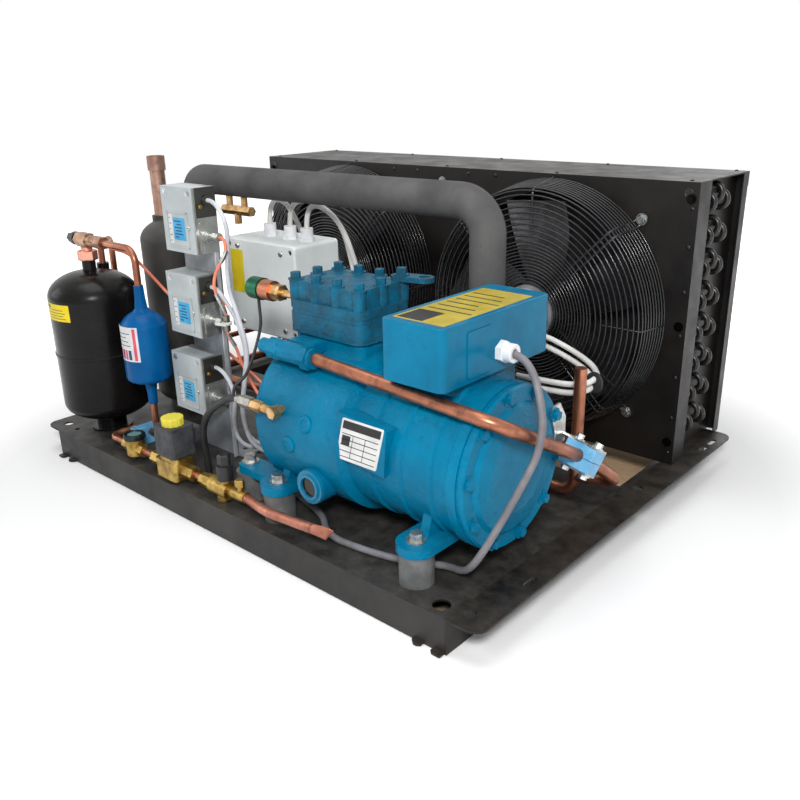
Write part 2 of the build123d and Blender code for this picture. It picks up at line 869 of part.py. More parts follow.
with BuildPart() as solenoid_cap:
    with BuildSketch(Plane.XY.offset(coil_low + coil_height)):
        with Locations((valve_x + 7, line_y)):
            Circle(18)
            with PolarLocations(18, 12):
                Circle(1.6, mode=Mode.SUBTRACT)
    extrude(amount=13)
    fillet(solenoid_cap.faces().sort_by(Axis.Z)[-1].edges(), 1.4)
save(solenoid_cap.part, "valve_caps")

# Plunger inside the valve's tube
with BuildPart() as solenoid_plunger:
    with BuildSketch(Plane.XY.offset(line_z + 31)):
        with Locations((valve_x + 7, line_y)):
            Circle(5 - run_fit)
    extrude(amount=33)
save(solenoid_plunger.part, "solenoid_plunger")

# Copper link with its union nut between solenoid valve and service valve
service_x = 6.5
service_left = -31.0
save(straight_pipe(valve_x + valve_half, service_left), "liquid_pipes")

with BuildPart() as union_nut:
    with BuildSketch(Plane.YZ.offset(service_left - 12)):
        with Locations((line_y - 0.2, line_z)):
            RegularPolygon(9.5, 6, major_radius=False)
            Circle(line_r + seat_clear + 0.3, mode=Mode.SUBTRACT)
    extrude(amount=12)
save(union_nut.part, "service_valve")

# Service valve: brass body with a capped stem and an access port
port_x = 52.0
service_right = 66.0
with BuildPart() as service_valve:
    with BuildSketch(Plane.YZ.offset(service_left)):
        with Locations((line_y, line_z)):
            RegularPolygon(11, 6, major_radius=False)
    extrude(amount=16)
    with BuildSketch(Plane.YZ.offset(service_left + 16)):
        with Locations((line_y, line_z)):
            Circle(14.5)
    extrude(amount=44)
    with BuildSketch(Plane.XY.offset(deck_top + 1)):
        with Locations((service_x + 3, line_y)):
            Circle(11)
    extrude(amount=31)
    with BuildSketch(Plane.XY.offset(line_z + 6)):
        with Locations((service_x + 11, line_y)):
            Circle(9)
    extrude(amount=12)
    with BuildSketch(Plane.YZ.offset(service_left + 60)):
        with Locations((line_y, line_z)):
            Circle(9)
    extrude(amount=service_right - service_left - 60)
    with BuildSketch(Plane.XY.offset(line_z)):
        with Locations((port_x, line_y)):
            Circle(4.5)
    extrude(amount=16)
save(service_valve.part, "service_valve")

with BuildPart() as service_cap:
    with BuildSketch(Plane.XY.offset(line_z + 18)):
        with Locations((service_x + 11, line_y)):
            Circle(13)
    extrude(amount=24)
    with BuildSketch(Plane.XY.offset(line_z + 42)):
        with Locations((service_x + 11, line_y)):
            RegularPolygon(9, 6, major_radius=False)
    extrude(amount=18)
    chamfer(service_cap.faces().sort_by(Axis.Z)[-1].edges(), 2)
save(service_cap.part, "valve_caps")

with BuildPart() as port_cap:
    with BuildSketch(Plane.XY.offset(line_z + 16)):
        with Locations((port_x, line_y)):
            RegularPolygon(6.5, 6, major_radius=False)
    extrude(amount=11)
    chamfer(port_cap.faces().sort_by(Axis.Z)[-1].edges(), 1)
save(port_cap.part, "service_valve")

# Liquid line stub: crimped copper pipe that passes in front of the compressor's mount
stub_route = [
    (service_right + 0.8, line_y, line_z),
    (92, line_y - 5, line_z + 1.5),
    (130, line_y - 13.5, line_z + 4.0),
    (228, line_y - 15, line_z + 13.0),
]
with BuildPart() as liquid_stub:
    add(tube(stub_route, 7.5, 6.3, name="liquid_stub"))
    crimp_dir = (Vector(*stub_route[-1]) - Vector(*stub_route[-2])).normalized()
    crimp_at = Vector(*stub_route[-1])
    with BuildSketch(Plane(origin=crimp_at - crimp_dir * 0.2, z_dir=crimp_dir)):
        Circle(7.5)
    with BuildSketch(Plane(origin=crimp_at + crimp_dir * 22, x_dir=(0, 0, 1), z_dir=crimp_dir)):
        Rectangle(16, 3)
    loft()
save(liquid_stub.part, "liquid_stub")


# Compressor housing: crankcase, motor case, cylinder bank and feet in one casting
def barrel(points):
    """Solid of revolution about the compressor's axis from (x, radius) pairs."""
    with BuildPart() as made:
        with BuildSketch(Plane(origin=(0, comp_y, comp_z), x_dir=(1, 0, 0), z_dir=(0, -1, 0))):
            with BuildLine():
                Polyline(*points, close=True)
            make_face()
        revolve(axis=Axis((0, comp_y, comp_z), (1, 0, 0)))
    return made.part


def around(x, radius, angle):
    """Point at an angle round the compressor's axis, 0 to the back and 90 up."""
    turn = math.radians(angle)
    return (x, comp_y + radius * math.cos(turn), comp_z + radius * math.sin(turn))


bank_mid = (bank_x0 + bank_x1) / 2
shell_points = [(comp_left, 0), (comp_left, crankcase_r - 10), (comp_left + 10, crankcase_r)]
shell_points += [(crankcase_end, crankcase_r), (crankcase_end + 8, motor_case_r)]
for rib_x in (296, 346, 396):
    shell_points += [(rib_x, motor_case_r), (rib_x + 2, motor_case_r + 3)]
    shell_points += [(rib_x + 8, motor_case_r + 3), (rib_x + 10, motor_case_r)]
shell_points += [(motor_case_end, motor_case_r), (motor_case_end + 4, flange_r - 2)]
shell_points += [(flange_end, flange_r - 2), (flange_end, 0)]
with BuildPart() as compressor_housing:
    add(barrel(shell_points))
    with BuildSketch(Plane.XY.offset(comp_z)):
        with Locations((bank_mid, comp_y)):
            RectangleRounded(bank_x1 - bank_x0 - 12, 2 * bank_half - 12, 14)
    extrude(amount=plate_z - comp_z)
    with BuildSketch(Plane.XY.offset(plate_z - 28)):
        with Locations((bank_mid, comp_y)):
            RectangleRounded(bank_x1 - bank_x0, 2 * bank_half, 18)
    extrude(amount=28)
    for x in mount_x:
        for y in (mount_front, mount_rear):
            out = -1 if y < comp_y else 1
            with BuildSketch(Plane.XY.offset(deck_top + spacer_height)):
                with Locations((x, y)):
                    Circle(27)
                with Locations((x, y - out * 30)):
                    Rectangle(54, 60)
            extrude(amount=foot_height)
            with BuildSketch(Plane.YZ.offset(x)):
                with BuildLine():
                    Polyline(
                        (y - out * 14, deck_top + spacer_height + foot_height - 1),
                        (y - out * 22, deck_top + spacer_height + foot_height + 24),
                        (y - out * 34, comp_z - 14),
                        (y - out * 60, comp_z - 14),
                        (y - out * 60, deck_top + spacer_height + foot_height - 1),
                        close=True,
                    )
                make_face()
            extrude(amount=7, both=True)
    with BuildSketch(Plane.XY.offset(deck_top + spacer_height)):
        with Locations((70, -323)):
            RectangleRounded(100, 36, 12)
    extrude(amount=foot_height)
    with BuildSketch(Plane.XZ.offset(-(comp_y - 70))):
        with Locations((291, 216)):
            Rectangle(88, 66, rotation=-5)
    extrude(amount=44)
    for x, z, boss_r, reach in ((187, 218, 12, 112), (152, 179, 10, 119), (196, 127, 26, 118)):
        with BuildSketch(Plane.XZ.offset(-comp_y + 60)):
            with Locations((x, z)):
                Circle(boss_r)
        extrude(amount=reach - 60)
    with BuildSketch(Plane.XY.offset(comp_z + 80)):
        with Locations(((tbox_x0 + tbox_x1) / 2, comp_y + 12)):
            RectangleRounded(84, 118, 10)
    extrude(amount=tbox_z0 - comp_z - 80)
    with BuildSketch(Plane.XZ.offset(-comp_y - 60)):
        with Locations((drop_x, 235)):
            RectangleRounded(56, 56, 8)
    extrude(amount=-52)
    add(
        barrel(
            [
                (comp_left, 0),
                (comp_left, 100),
                (comp_left + case_wall, crankcase_r - case_wall),
                (crank_wall_x - 6, crankcase_r - case_wall),
                (crank_wall_x - 6, 0),
            ]
        ),
        mode=Mode.SUBTRACT,
    )
    add(
        barrel(
            [
                (crank_wall_x + 8, 0),
                (crank_wall_x + 8, motor_case_r - case_wall),
                (flange_end, motor_case_r - case_wall),
                (flange_end, 0),
            ]
        ),
        mode=Mode.SUBTRACT,
    )
    add(
        barrel(
            [
                (crank_wall_x - 10, 0),
                (crank_wall_x - 10, shaft_r + run_fit),
                (crank_wall_x + 12, shaft_r + run_fit),
                (crank_wall_x + 12, 0),
            ]
        ),
        mode=Mode.SUBTRACT,
    )
    with BuildSketch(Plane.XY.offset(plate_z)):
        with Locations(*[(x, comp_y) for x in cylinder_x]):
            Circle(bore_r)
    extrude(amount=-(plate_z - comp_z - 60), mode=Mode.SUBTRACT)
    with BuildSketch(Plane.XZ.offset(-comp_y + 119)):
        with Locations((196, 127)):
            Circle(15 + seat_clear)
    extrude(amount=-40, mode=Mode.SUBTRACT)
    for x in mount_x:
        with Locations((x, mount_front, 110), (x, mount_rear, 110)):
            Hole(8.5, depth=13)
    with Locations((33, -321.5, 110)):
        Hole(8.5, depth=13)
save(compressor_housing.part, "compressor_housing")

# Mounts: spacers under the feet, bolts with nuts below the deck
with BuildPart() as mount_spacers:
    with BuildSketch(Plane.XY.offset(deck_top)):
        with Locations(*mount_points):
            Circle(spacer_r)
            Circle(8.5, mode=Mode.SUBTRACT)
    extrude(amount=spacer_height)
save(mount_spacers.part, "mount_spacers")

with BuildPart() as mount_bolts:
    for x, y in mount_points:
        bolt_on(facing(x, y, deck_top + spacer_height + foot_height, (0, 0, 1)), 16, 10, 2)
        with BuildSketch(Plane.XY.offset(deck_top - 16)):
            with Locations((x, y)):
                Circle(5.9)
        extrude(amount=spacer_height + foot_height + 18)
        bolt_on(facing(x, y, deck_top - sheet, (0, 0, -1)), 16, 8, 2)
save(mount_bolts.part, "mount_bolts")

# Bearing cover on the crank end, with its bolts and a plain bearing
with BuildPart() as bearing_cover:
    add(
        barrel(
            [
                (comp_left - 14, 0),
                (comp_left - 14, 60),
                (comp_left - 8, 70),
                (comp_left - 8, 106),
                (comp_left, 108.5),
                (comp_left, 34),
                (comp_left + 16, 30),
                (comp_left + 16, 0),
            ]
        )
    )
    add(
        barrel(
            [
                (comp_left - 9, 0),
                (comp_left - 9, shaft_r + run_fit),
                (comp_left + 20, shaft_r + run_fit),
                (comp_left + 20, 0),
            ]
        ),
        mode=Mode.SUBTRACT,
    )
save(bearing_cover.part, "bearing_cover")

with BuildPart() as cover_bolts:
    for i in range(10):
        bolt_on(facing(*around(comp_left - 8, 92, 18 + 36 * i), (-1, 0, 0)), 13, 8)
save(cover_bolts.part, "compressor_bolts")

# Motor end cover: a dished lid with a bolted rim
rim_front = flange_end + 10
bolt_ring = 101.0
bolt_first = 27.7
end_bolts = 10
with BuildPart() as motor_end_cover:
    add(
        barrel(
            [
                (flange_end, 0),
                (flange_end, flange_r - 4),
                (rim_front - 3, flange_r - 3),
                (rim_front, flange_r - 6),
                (rim_front, 90),
                (rim_front + 5, 84),
                (rim_front + 8, 60),
                (rim_front + 8, 0),
            ]
        )
    )
    add(
        barrel(
            [
                (flange_end, 0),
                (flange_end, 88),
                (rim_front - 3, 80),
                (rim_front, 58),
                (rim_front, 0),
            ]
        ),
        mode=Mode.SUBTRACT,
    )
save(motor_end_cover.part, "motor_end_cover")

with BuildPart() as end_cover_bolts:
    for i in range(end_bolts):
        seat = rim_front + (clamp_plate if i == 0 else 0)
        bolt_on(facing(*around(seat, bolt_ring, bolt_first + 360 / end_bolts * i), (1, 0, 0)), 12, 6)
save(end_cover_bolts.part, "compressor_bolts")

# Motor and running gear: stator, crankshaft with rotor, two pistons and two rods
with BuildPart() as stator:
    with BuildSketch(Plane.YZ.offset(stator_left)):
        with Locations((comp_y, comp_z)):
            Circle(motor_case_r - case_wall)
            Circle(stator_bore, mode=Mode.SUBTRACT)
    extrude(amount=stator_length)
    for x in (stator_left - 16, stator_left + stator_length):
        with BuildSketch(Plane.YZ.offset(x)):
            with Locations((comp_y, comp_z)):
                Circle(84)
                Circle(62, mode=Mode.SUBTRACT)
        extrude(amount=16)
save(stator.part, "stator")

pin_half = 13.0
with BuildPart() as crankshaft:
    with BuildSketch(Plane.YZ.offset(shaft_left)):
        with Locations((comp_y, comp_z)):
            Circle(shaft_r)
    extrude(amount=shaft_right - shaft_left)
    for i, x in enumerate(cylinder_x):
        throw = crank_throw if i == 0 else -crank_throw
        with BuildSketch(Plane.YZ.offset(x - pin_half)):
            with Locations((comp_y + throw, comp_z)):
                Circle(crank_throw + shaft_r + 4)
        extrude(amount=2 * pin_half)
    with BuildSketch(Plane.YZ.offset(stator_left)):
        with Locations((comp_y, comp_z)):
            Circle(stator_bore - rotor_gap)
    extrude(amount=stator_length)
    with BuildSketch(Plane.YZ.offset(stator_left - 12)):
        with Locations((comp_y, comp_z)):
            Circle(50)
            Circle(38, mode=Mode.SUBTRACT)
    extrude(amount=stator_length + 24)
save(crankshaft.part, "crankshaft")

swept = 2 * crank_throw + shaft_r + 4
piston_low = comp_z + 88
piston_height = 42.0
with BuildPart() as pistons:
    with BuildSketch(Plane.XY.offset(piston_low)):
        with Locations(*[(x, comp_y) for x in cylinder_x]):
            Circle(bore_r - run_fit)
    extrude(amount=piston_height)
    with BuildSketch(Plane.XY.offset(piston_low)):
        with Locations(*[(x, comp_y) for x in cylinder_x]):
            Circle(bore_r - 5)
    extrude(amount=piston_height - 8, mode=Mode.SUBTRACT)
    for x in cylinder_x:
        with BuildSketch(Plane.YZ.offset(x - bore_r + 3)):
            with Locations((comp_y, piston_low + 14)):
                Circle(6)
        extrude(amount=2 * bore_r - 6)
save(pistons.part, "pistons")

with BuildPart() as connecting_rods:
    for x in cylinder_x:
        with BuildSketch(Plane.YZ.offset(x - 9)):
            with Locations((comp_y, comp_z)):
                Circle(swept + 9)
            with Locations((comp_y, (comp_z + piston_low + 14) / 2)):
                Rectangle(16, piston_low + 14 - comp_z)
            with Locations((comp_y, piston_low + 14)):
                Circle(11)
                Circle(6 + run_fit, mode=Mode.SUBTRACT)
            with Locations((comp_y, comp_z)):
                Circle(swept + 0.6, mode=Mode.SUBTRACT)
        extrude(amount=18)
save(connecting_rods.part, "connecting_rods")

# Valve plate, cylinder head and its bolts
with BuildPart() as valve_plate:
    with BuildSketch(Plane.XY.offset(plate_z)):
        with Locations((bank_mid, comp_y)):
            RectangleRounded(bank_x1 - bank_x0 - 2, 2 * bank_half - 2, 18)
        with Locations(*[(x, comp_y) for x in cylinder_x]):
            with PolarLocations(16, 6):
                Circle(4, mode=Mode.SUBTRACT)
    extrude(amount=plate_height)
save(valve_plate.part, "valve_plate")

head_z = plate_z + plate_height
head_bolt_x = [bank_x0 + 12, bank_x0 + 54, bank_x0 + 96, bank_x1 - 11]
head_points = [(x, comp_y + y) for x in head_bolt_x for y in (-bank_half + 11, bank_half - 11)]
head_points += [(head_bolt_x[0], comp_y), (head_bolt_x[-1], comp_y)]
with BuildPart() as cylinder_head:
    with BuildSketch(Plane.XY.offset(head_z)):
        with Locations((bank_mid, comp_y)):
            RectangleRounded(bank_x1 - bank_x0, 2 * bank_half, 18)
    extrude(amount=12)
    with BuildSketch(Plane.XY.offset(head_z + 12)):
        with Locations((bank_mid, comp_y)):
            RectangleRounded(bank_x1 - bank_x0 - 12, 2 * bank_half - 12, 16)
        with Locations(*head_points):
            Circle(9.5)
    extrude(amount=head_top - head_z - 12)
    with BuildSketch(Plane.XY.offset(head_z)):
        for x in (-34, 34):
            with Locations((bank_mid + x, comp_y)):
                RectangleRounded(54, 2 * bank_half - 44, 8)
    extrude(amount=head_top - head_z - 7, mode=Mode.SUBTRACT)
save(cylinder_head.part, "cylinder_head")

lug_point = head_points[-3]
with BuildPart() as head_bolts:
    for x, y in head_points:
        seat = head_top + (7 if (x, y) == lug_point else 0)
        bolt_on(facing(x, y, seat, (0, 0, 1)), 13, 9)
save(head_bolts.part, "compressor_bolts")

# Lifting eye held by the head's rear right bolt
with BuildPart() as lifting_eye:
    with BuildSketch(Plane.XY.offset(head_top)):
        with Locations((lug_point[0] - 2, lug_point[1])):
            Circle(14)
        with Locations((lug_point[0] + 17, lug_point[1] + 5)):
            Rectangle(36, 27, rotation=15)
        with Locations((lug_point[0] + 34, lug_point[1] + 9)):
            Circle(14)
            Circle(8, mode=Mode.SUBTRACT)
    extrude(amount=7)
save(lifting_eye.part, "lifting_eye")

# Oil sight glass: bolted ring and window in the crankcase boss
glass_y = comp_y - 118
with BuildPart() as oil_glass_ring:
    with BuildSketch(Plane.XZ.offset(-glass_y)):
        with Locations((196, 127)):
            Circle(25)
            Circle(15, mode=Mode.SUBTRACT)
    extrude(amount=5)
    with BuildSketch(Plane.XZ.offset(-glass_y + 5)):
        with Locations((196, 127)):
            Circle(19)
            Circle(15, mode=Mode.SUBTRACT)
    extrude(amount=3)
save(oil_glass_ring.part, "glass_rings")

with BuildPart() as oil_glass_window:
    with BuildSketch(Plane.XZ.offset(-glass_y + 4)):
        with Locations((196, 127)):
            Circle(15)
    extrude(amount=-12)
save(oil_glass_window.part, "sight_windows")

# Terminal box: open box with its lid, screws and a cable gland
tbox_mid = ((tbox_x0 + tbox_x1) / 2, (tbox_front + tbox_back) / 2)
with BuildPart() as terminal_box:
    with BuildSketch(Plane.XY.offset(tbox_z0)):
        with Locations(tbox_mid):
            RectangleRounded(tbox_x1 - tbox_x0, tbox_back - tbox_front, 10)
    extrude(amount=tbox_z1 - tbox_z0)
    with BuildSketch(Plane.XY.offset(tbox_z0 + tbox_wall)):
        with Locations(tbox_mid):
            RectangleRounded(tbox_x1 - tbox_x0 - 2 * tbox_wall, tbox_back - tbox_front - 2 * tbox_wall, 7)
    extrude(amount=tbox_z1 - tbox_z0, mode=Mode.SUBTRACT)
    with BuildSketch(Plane.YZ.offset(tbox_x1 - 1)):
        with Locations((-252, 346)):
            RectangleRounded(50, 60, 4)
    extrude(amount=2.5)
    with BuildSketch(Plane.YZ.offset(tbox_x1)):
        with Locations((-206, 336)):
            Circle(10)
    extrude(amount=-tbox_wall, mode=Mode.SUBTRACT)
    with BuildSketch(Plane.XY.offset(tbox_z0)):
        with Locations(tbox_mid):
            with GridLocations(60, 60, 2, 2):
                Circle(9)
    extrude(amount=30)
save(terminal_box.part, "terminal_box")

with BuildPart() as terminal_lid:
    with BuildSketch(Plane.XY.offset(tbox_z1)):
        with Locations(tbox_mid):
            RectangleRounded(tbox_x1 - tbox_x0, tbox_back - tbox_front, 10)
    extrude(amount=lid_height)
    fillet(terminal_lid.faces().sort_by(Axis.Z)[-1].edges(), 2)
save(terminal_lid.part, "terminal_lid")

with BuildPart() as cable_gland:
    gland_face = facing(tbox_x1, -206, 336, (1, 0, 0))
    with BuildSketch(gland_face):
        RegularPolygon(13, 6, major_radius=False)
    extrude(amount=9)
    with BuildSketch(gland_face.offset(9)):
        Circle(12.5)
    extrude(amount=13)
    with BuildSketch(gland_face.offset(-12)):
        Circle(9.7)
    extrude(amount=14)
    with BuildSketch(gland_face.offset(-12)):
        Circle(motor_cable_r + 1)
    extrude(amount=40, mode=Mode.SUBTRACT)
    fillet(cable_gland.faces().sort_by(Axis.X)[-1].edges(), 1.5)
save(cable_gland.part, "cable_glands")

# Discharge valve on the cylinder bank's front, with capped stem
dv_y = hot_start[1]
dv_z = hot_start[2]
with BuildPart() as discharge_valve:
    with BuildSketch(Plane.YZ.offset(98)):
        with Locations((dv_y, dv_z)):
            Circle(15)
    extrude(amount=hot_start[0] - 98.8)
    with BuildSketch(Plane.YZ.offset(92)):
        with Locations((dv_y, dv_z)):
            RegularPolygon(15, 8, major_radius=False)
    extrude(amount=24)
    with BuildSketch(Plane.YZ.offset(hot_start[0] - 22)):
        with Locations((dv_y, dv_z)):
            RegularPolygon(16, 6, major_radius=False)
    extrude(amount=15)
    with BuildSketch(Plane.XZ.offset(-(comp_y - bank_half + 6))):
        with Locations((140, dv_z + 6)):
            RectangleRounded(46, 21, 6)
    extrude(amount=32)
    with BuildSketch(Plane.YZ.offset(hot_start[0])):
        with Locations((dv_y, dv_z)):
            Circle(hot_r - hot_wall)
    extrude(amount=-60, mode=Mode.SUBTRACT)
save(discharge_valve.part, "discharge_valve")

with BuildPart() as discharge_cap:
    with BuildSketch(Plane.YZ.offset(92)):
        with Locations((dv_y, dv_z)):
            Circle(11)
    extrude(amount=-22)
    chamfer(discharge_cap.faces().sort_by(Axis.X)[0].edges(), 2)
save(discharge_cap.part, "discharge_valve")

# Hot gas line: from the discharge valve round the motor end into the riser
with BuildPart() as hot_gas_line:
    add(
        tube(
            [hot_start, hot_corner, hot_clamp, hot_exit, hot_elbow, (riser_x, riser_y, riser_tee_z)],
            hot_r,
            hot_r - hot_wall,
            limit=40,
            name="hot_gas_line",
        )
    )
    with BuildSketch(Plane.XY.offset(riser_tee_z - 30)):
        with Locations((riser_x, riser_y)):
            Circle(hot_r + 0.05)
    extrude(amount=60, mode=Mode.SUBTRACT)
hot_gas_parts = hot_gas_line.part.solids().sort_by(SortBy.VOLUME)
save(hot_gas_parts[-1], "hot_gas_line")

# Riser behind the motor, run along the back of the deck and header of the coil
header_y = row_y[2]
with BuildPart() as riser_pipe:
    add(
        tube(
            [
                (riser_x, riser_y, riser_top),
                (riser_x, riser_y, back_run_z),
                (header_x, riser_y, back_run_z),
                (header_x, header_y, back_run_z),
                (header_x, header_y, header_top),
            ],
            hot_r,
            hot_r - hot_wall,
            limit=26,
            name="riser_pipe",
        )
    )
    with BuildSketch(Plane.XY.offset(riser_top - 1)):
        with Locations((riser_x, riser_y)):
            Circle(hot_r)
    extrude(amount=4)
    with BuildSketch(Plane.XY.offset(header_top - 1)):
        with Locations((header_x, header_y)):
            Circle(hot_r)
    extrude(amount=4)
    fillet(riser_pipe.faces().sort_by(Axis.Z)[-1].edges(), 2)
    for i in (1, 3, 5, 7):
        stub_z = first_bend_z + bend_pitch * i - tube_pitch / 2
        with BuildSketch(Plane.YZ.offset(-tube_sheet_x - casing_sheet)):
            with Locations((header_y, stub_z)):
                Circle(bend_tube_r)
        extrude(amount=header_x + hot_r - 2 + tube_sheet_x + casing_sheet)
save(riser_pipe.part, "riser_pipe")

# Clamp on the hot gas line: two plastic halves between plates, tied to the end cover
clamp_dir = (Vector(*hot_clamp) - Vector(*hot_corner)).normalized()
clamp_centre = Vector(*hot_clamp) + clamp_dir * (clamp_depth / 2)
tilt = math.radians(clamp_tilt)
clamp_plane = Plane(
    origin=clamp_centre - clamp_dir * (clamp_depth / 2),
    x_dir=(math.cos(tilt), 0, -math.sin(tilt)),
    z_dir=clamp_dir,
)
rise = 1 if clamp_plane.y_dir.Z > 0 else -1
bolt_offset = clamp_width / 2 - 8
with BuildPart() as clamp_halves:
    with BuildSketch(clamp_plane):
        for half in (-1, 1):
            with Locations((0, half * (clamp_height / 4 + 0.2))):
                Rectangle(clamp_width, clamp_height / 2 - 0.4)
        Circle(hot_r + seat_clear, mode=Mode.SUBTRACT)
    extrude(amount=clamp_depth)
    clamp_cross = Plane(
        origin=clamp_centre + clamp_plane.y_dir * (clamp_height / 2 + 10),
        x_dir=clamp_plane.x_dir,
        z_dir=clamp_plane.y_dir,
    )
    with BuildSketch(clamp_cross):
        with Locations((-bolt_offset, 0), (bolt_offset, 0)):
            Circle(3.4)
    extrude(amount=-clamp_height - 20, mode=Mode.SUBTRACT)
save(clamp_halves.part, "pipe_clamps")

tab_y, tab_z = around(rim_front, bolt_ring, bolt_first)[1:]
with BuildPart() as clamp_plates:
    for half in (-1, 1):
        with BuildSketch(clamp_plane):
            with Locations((0, half * (clamp_height + clamp_plate) / 2)):
                Rectangle(clamp_width, clamp_plate)
            if half == rise:
                with Locations((-clamp_width / 2 - 1, half * (clamp_height + clamp_plate) / 2)):
                    Rectangle(20, clamp_plate)
        extrude(amount=clamp_depth)
    with BuildSketch(clamp_cross):
        with Locations((-bolt_offset, 0), (bolt_offset, 0)):
            Circle(3.4)
    extrude(amount=-clamp_height - 20, mode=Mode.SUBTRACT)
    with BuildSketch(Plane.YZ.offset(rim_front)):
        with BuildLine():
            Polyline(
                (tab_y + 2, tab_z - 47),
                (tab_y + 29, tab_z - 47),
                (tab_y + 29, tab_z - 11),
                (tab_y + 13, tab_z + 13),
                (tab_y - 6, tab_z + 11),
                (tab_y - 8, tab_z - 2),
                (tab_y + 1, tab_z - 23),
                close=True,
            )
        make_face()
        with Locations((tab_y, tab_z)):
            Circle(4, mode=Mode.SUBTRACT)
    extrude(amount=clamp_plate)
save(clamp_plates.part, "clamp_plates")

with BuildPart() as clamp_bolts:
    up = clamp_plane.y_dir * rise
    for x in (-bolt_offset, bolt_offset):
        top = clamp_centre + clamp_plane.x_dir * x + up * (clamp_height / 2 + clamp_plate)
        low = clamp_centre + clamp_plane.x_dir * x - up * (clamp_height / 2 + clamp_plate)
        bolt_on(Plane(origin=top, z_dir=up), 10, 6)
        with BuildSketch(Plane(origin=top + up * 1, z_dir=-up)) as shank:
            Circle(3)
        extrude(shank.sketch, amount=clamp_height + 2 * clamp_plate + 5)
        bolt_on(Plane(origin=low, z_dir=-up), 10, 5)
save(clamp_bolts.part, "small_bolts")

# Suction service valve on the back of the motor case
sv_z = 235.0
sv_top = 300.0
with BuildPart() as suction_valve:
    with BuildSketch(Plane.XZ.offset(-comp_y - 112)):
        with Locations((drop_x, sv_z)):
            RectangleRounded(56, 56, 8)
    extrude(amount=-12)
    with BuildSketch(Plane.XZ.offset(-comp_y - 112)):
        with Locations((drop_x, sv_z)):
            Circle(21)
    extrude(amount=drop_y - comp_y - 112 - 0.0, dir=(0, 1, 0))
    with BuildSketch(Plane.XY.offset(sv_z - 34)):
        with Locations((drop_x, drop_y)):
            Circle(20)
    extrude(amount=sv_top - 14 - sv_z + 34)
    with BuildSketch(Plane.XY.offset(sv_top - 22)):
        with Locations((drop_x, drop_y)):
            RegularPolygon(23, 6, major_radius=False)
    extrude(amount=22)
    with BuildSketch(Plane.XY.offset(sv_top)):
        with Locations((drop_x, drop_y)):
            Circle(suction_r - 1.5)
    extrude(amount=-60, mode=Mode.SUBTRACT)
save(suction_valve.part, "suction_valve")

with BuildPart() as suction_cap:
    with BuildSketch(Plane.XY.offset(sv_z - 34)):
        with Locations((drop_x, drop_y)):
            Circle(13)
    extrude(amount=-20)
    chamfer(suction_cap.faces().sort_by(Axis.Z)[0].edges(), 2)
save(suction_cap.part, "suction_valve")

# Accumulator: insulated vessel with a foot ring and two bosses on its dome
accu_low = deck_top + 30
accu_crown = accu_top - 40
out_x = -362.0
out_y = -92.5
boss_top = accu_top + 4
with BuildPart() as accumulator:
    with BuildSketch(Plane(origin=(accu_x, accu_y, 0), x_dir=(1, 0, 0), z_dir=(0, -1, 0))):
        with BuildLine():
            Line((0, deck_top + 8), (10, deck_top + 8))
            sole = EllipticalCenterArc(
                (10, accu_low + 8), accu_r - 10, accu_low - deck_top, 270, arc_size=90
            )
            crown = EllipticalCenterArc((10, accu_crown), accu_r - 10, accu_top - accu_crown, 0, arc_size=90)
            Line(sole @ 1, crown @ 0)
            Line(crown @ 1, (0, accu_top))
            Line((0, accu_top), (0, deck_top + 8))
        make_face()
    revolve(axis=Axis((accu_x, accu_y, 0), (0, 0, 1)))
    with BuildSketch(Plane.XY.offset(deck_top)):
        with Locations((accu_x, accu_y)):
            Circle(50)
    extrude(amount=accu_low - deck_top)
    with BuildSketch(Plane.XY.offset(accu_crown)):
        with Locations((stub_x, stub_y), (out_x, out_y)):
            Circle(19)
    extrude(amount=boss_top - accu_crown)
    with BuildSketch(Plane(origin=(accu_x, accu_y, 0), x_dir=(1, 0, 0), z_dir=(0, -1, 0))):
        with BuildLine():
            inner_sole = EllipticalCenterArc(
                (10, accu_low + 8), accu_r - 10 - accu_wall, accu_low - deck_top - accu_wall, 270, arc_size=90
            )
            inner_crown = EllipticalCenterArc(
                (10, accu_crown), accu_r - 10 - accu_wall, accu_top - accu_crown - accu_wall, 0, arc_size=90
            )
            Line(inner_sole @ 1, inner_crown @ 0)
            Line(inner_crown @ 1, (0, accu_top - accu_wall))
            Line((0, accu_top - accu_wall), (0, deck_top + 8 + accu_wall))
            Line((0, deck_top + 8 + accu_wall), inner_sole @ 0)
        make_face()
    revolve(axis=Axis((accu_x, accu_y, 0), (0, 0, 1)), mode=Mode.SUBTRACT)
save(accumulator.part, "accumulator")

# Suction connection of the unit: copper stub with a widened end for the site's pipe
cup_r = suction_r + 2.5
with BuildPart() as suction_stub:
    with BuildSketch(Plane.XY.offset(boss_top)):
        with Locations((stub_x, stub_y)):
            Circle(suction_r)
            Circle(suction_r - 1.5, mode=Mode.SUBTRACT)
    extrude(amount=stub_top - boss_top - 20)
    with BuildSketch(Plane.XY.offset(stub_top - 26)):
        with Locations((stub_x, stub_y)):
            Circle(cup_r)
            Circle(suction_r - 1.5, mode=Mode.SUBTRACT)
    extrude(amount=6)
    with BuildSketch(Plane.XY.offset(stub_top - 20)):
        with Locations((stub_x, stub_y)):
            Circle(cup_r)
            Circle(suction_r + socket_clear, mode=Mode.SUBTRACT)
    extrude(amount=20)
save(suction_stub.part, "suction_stub")

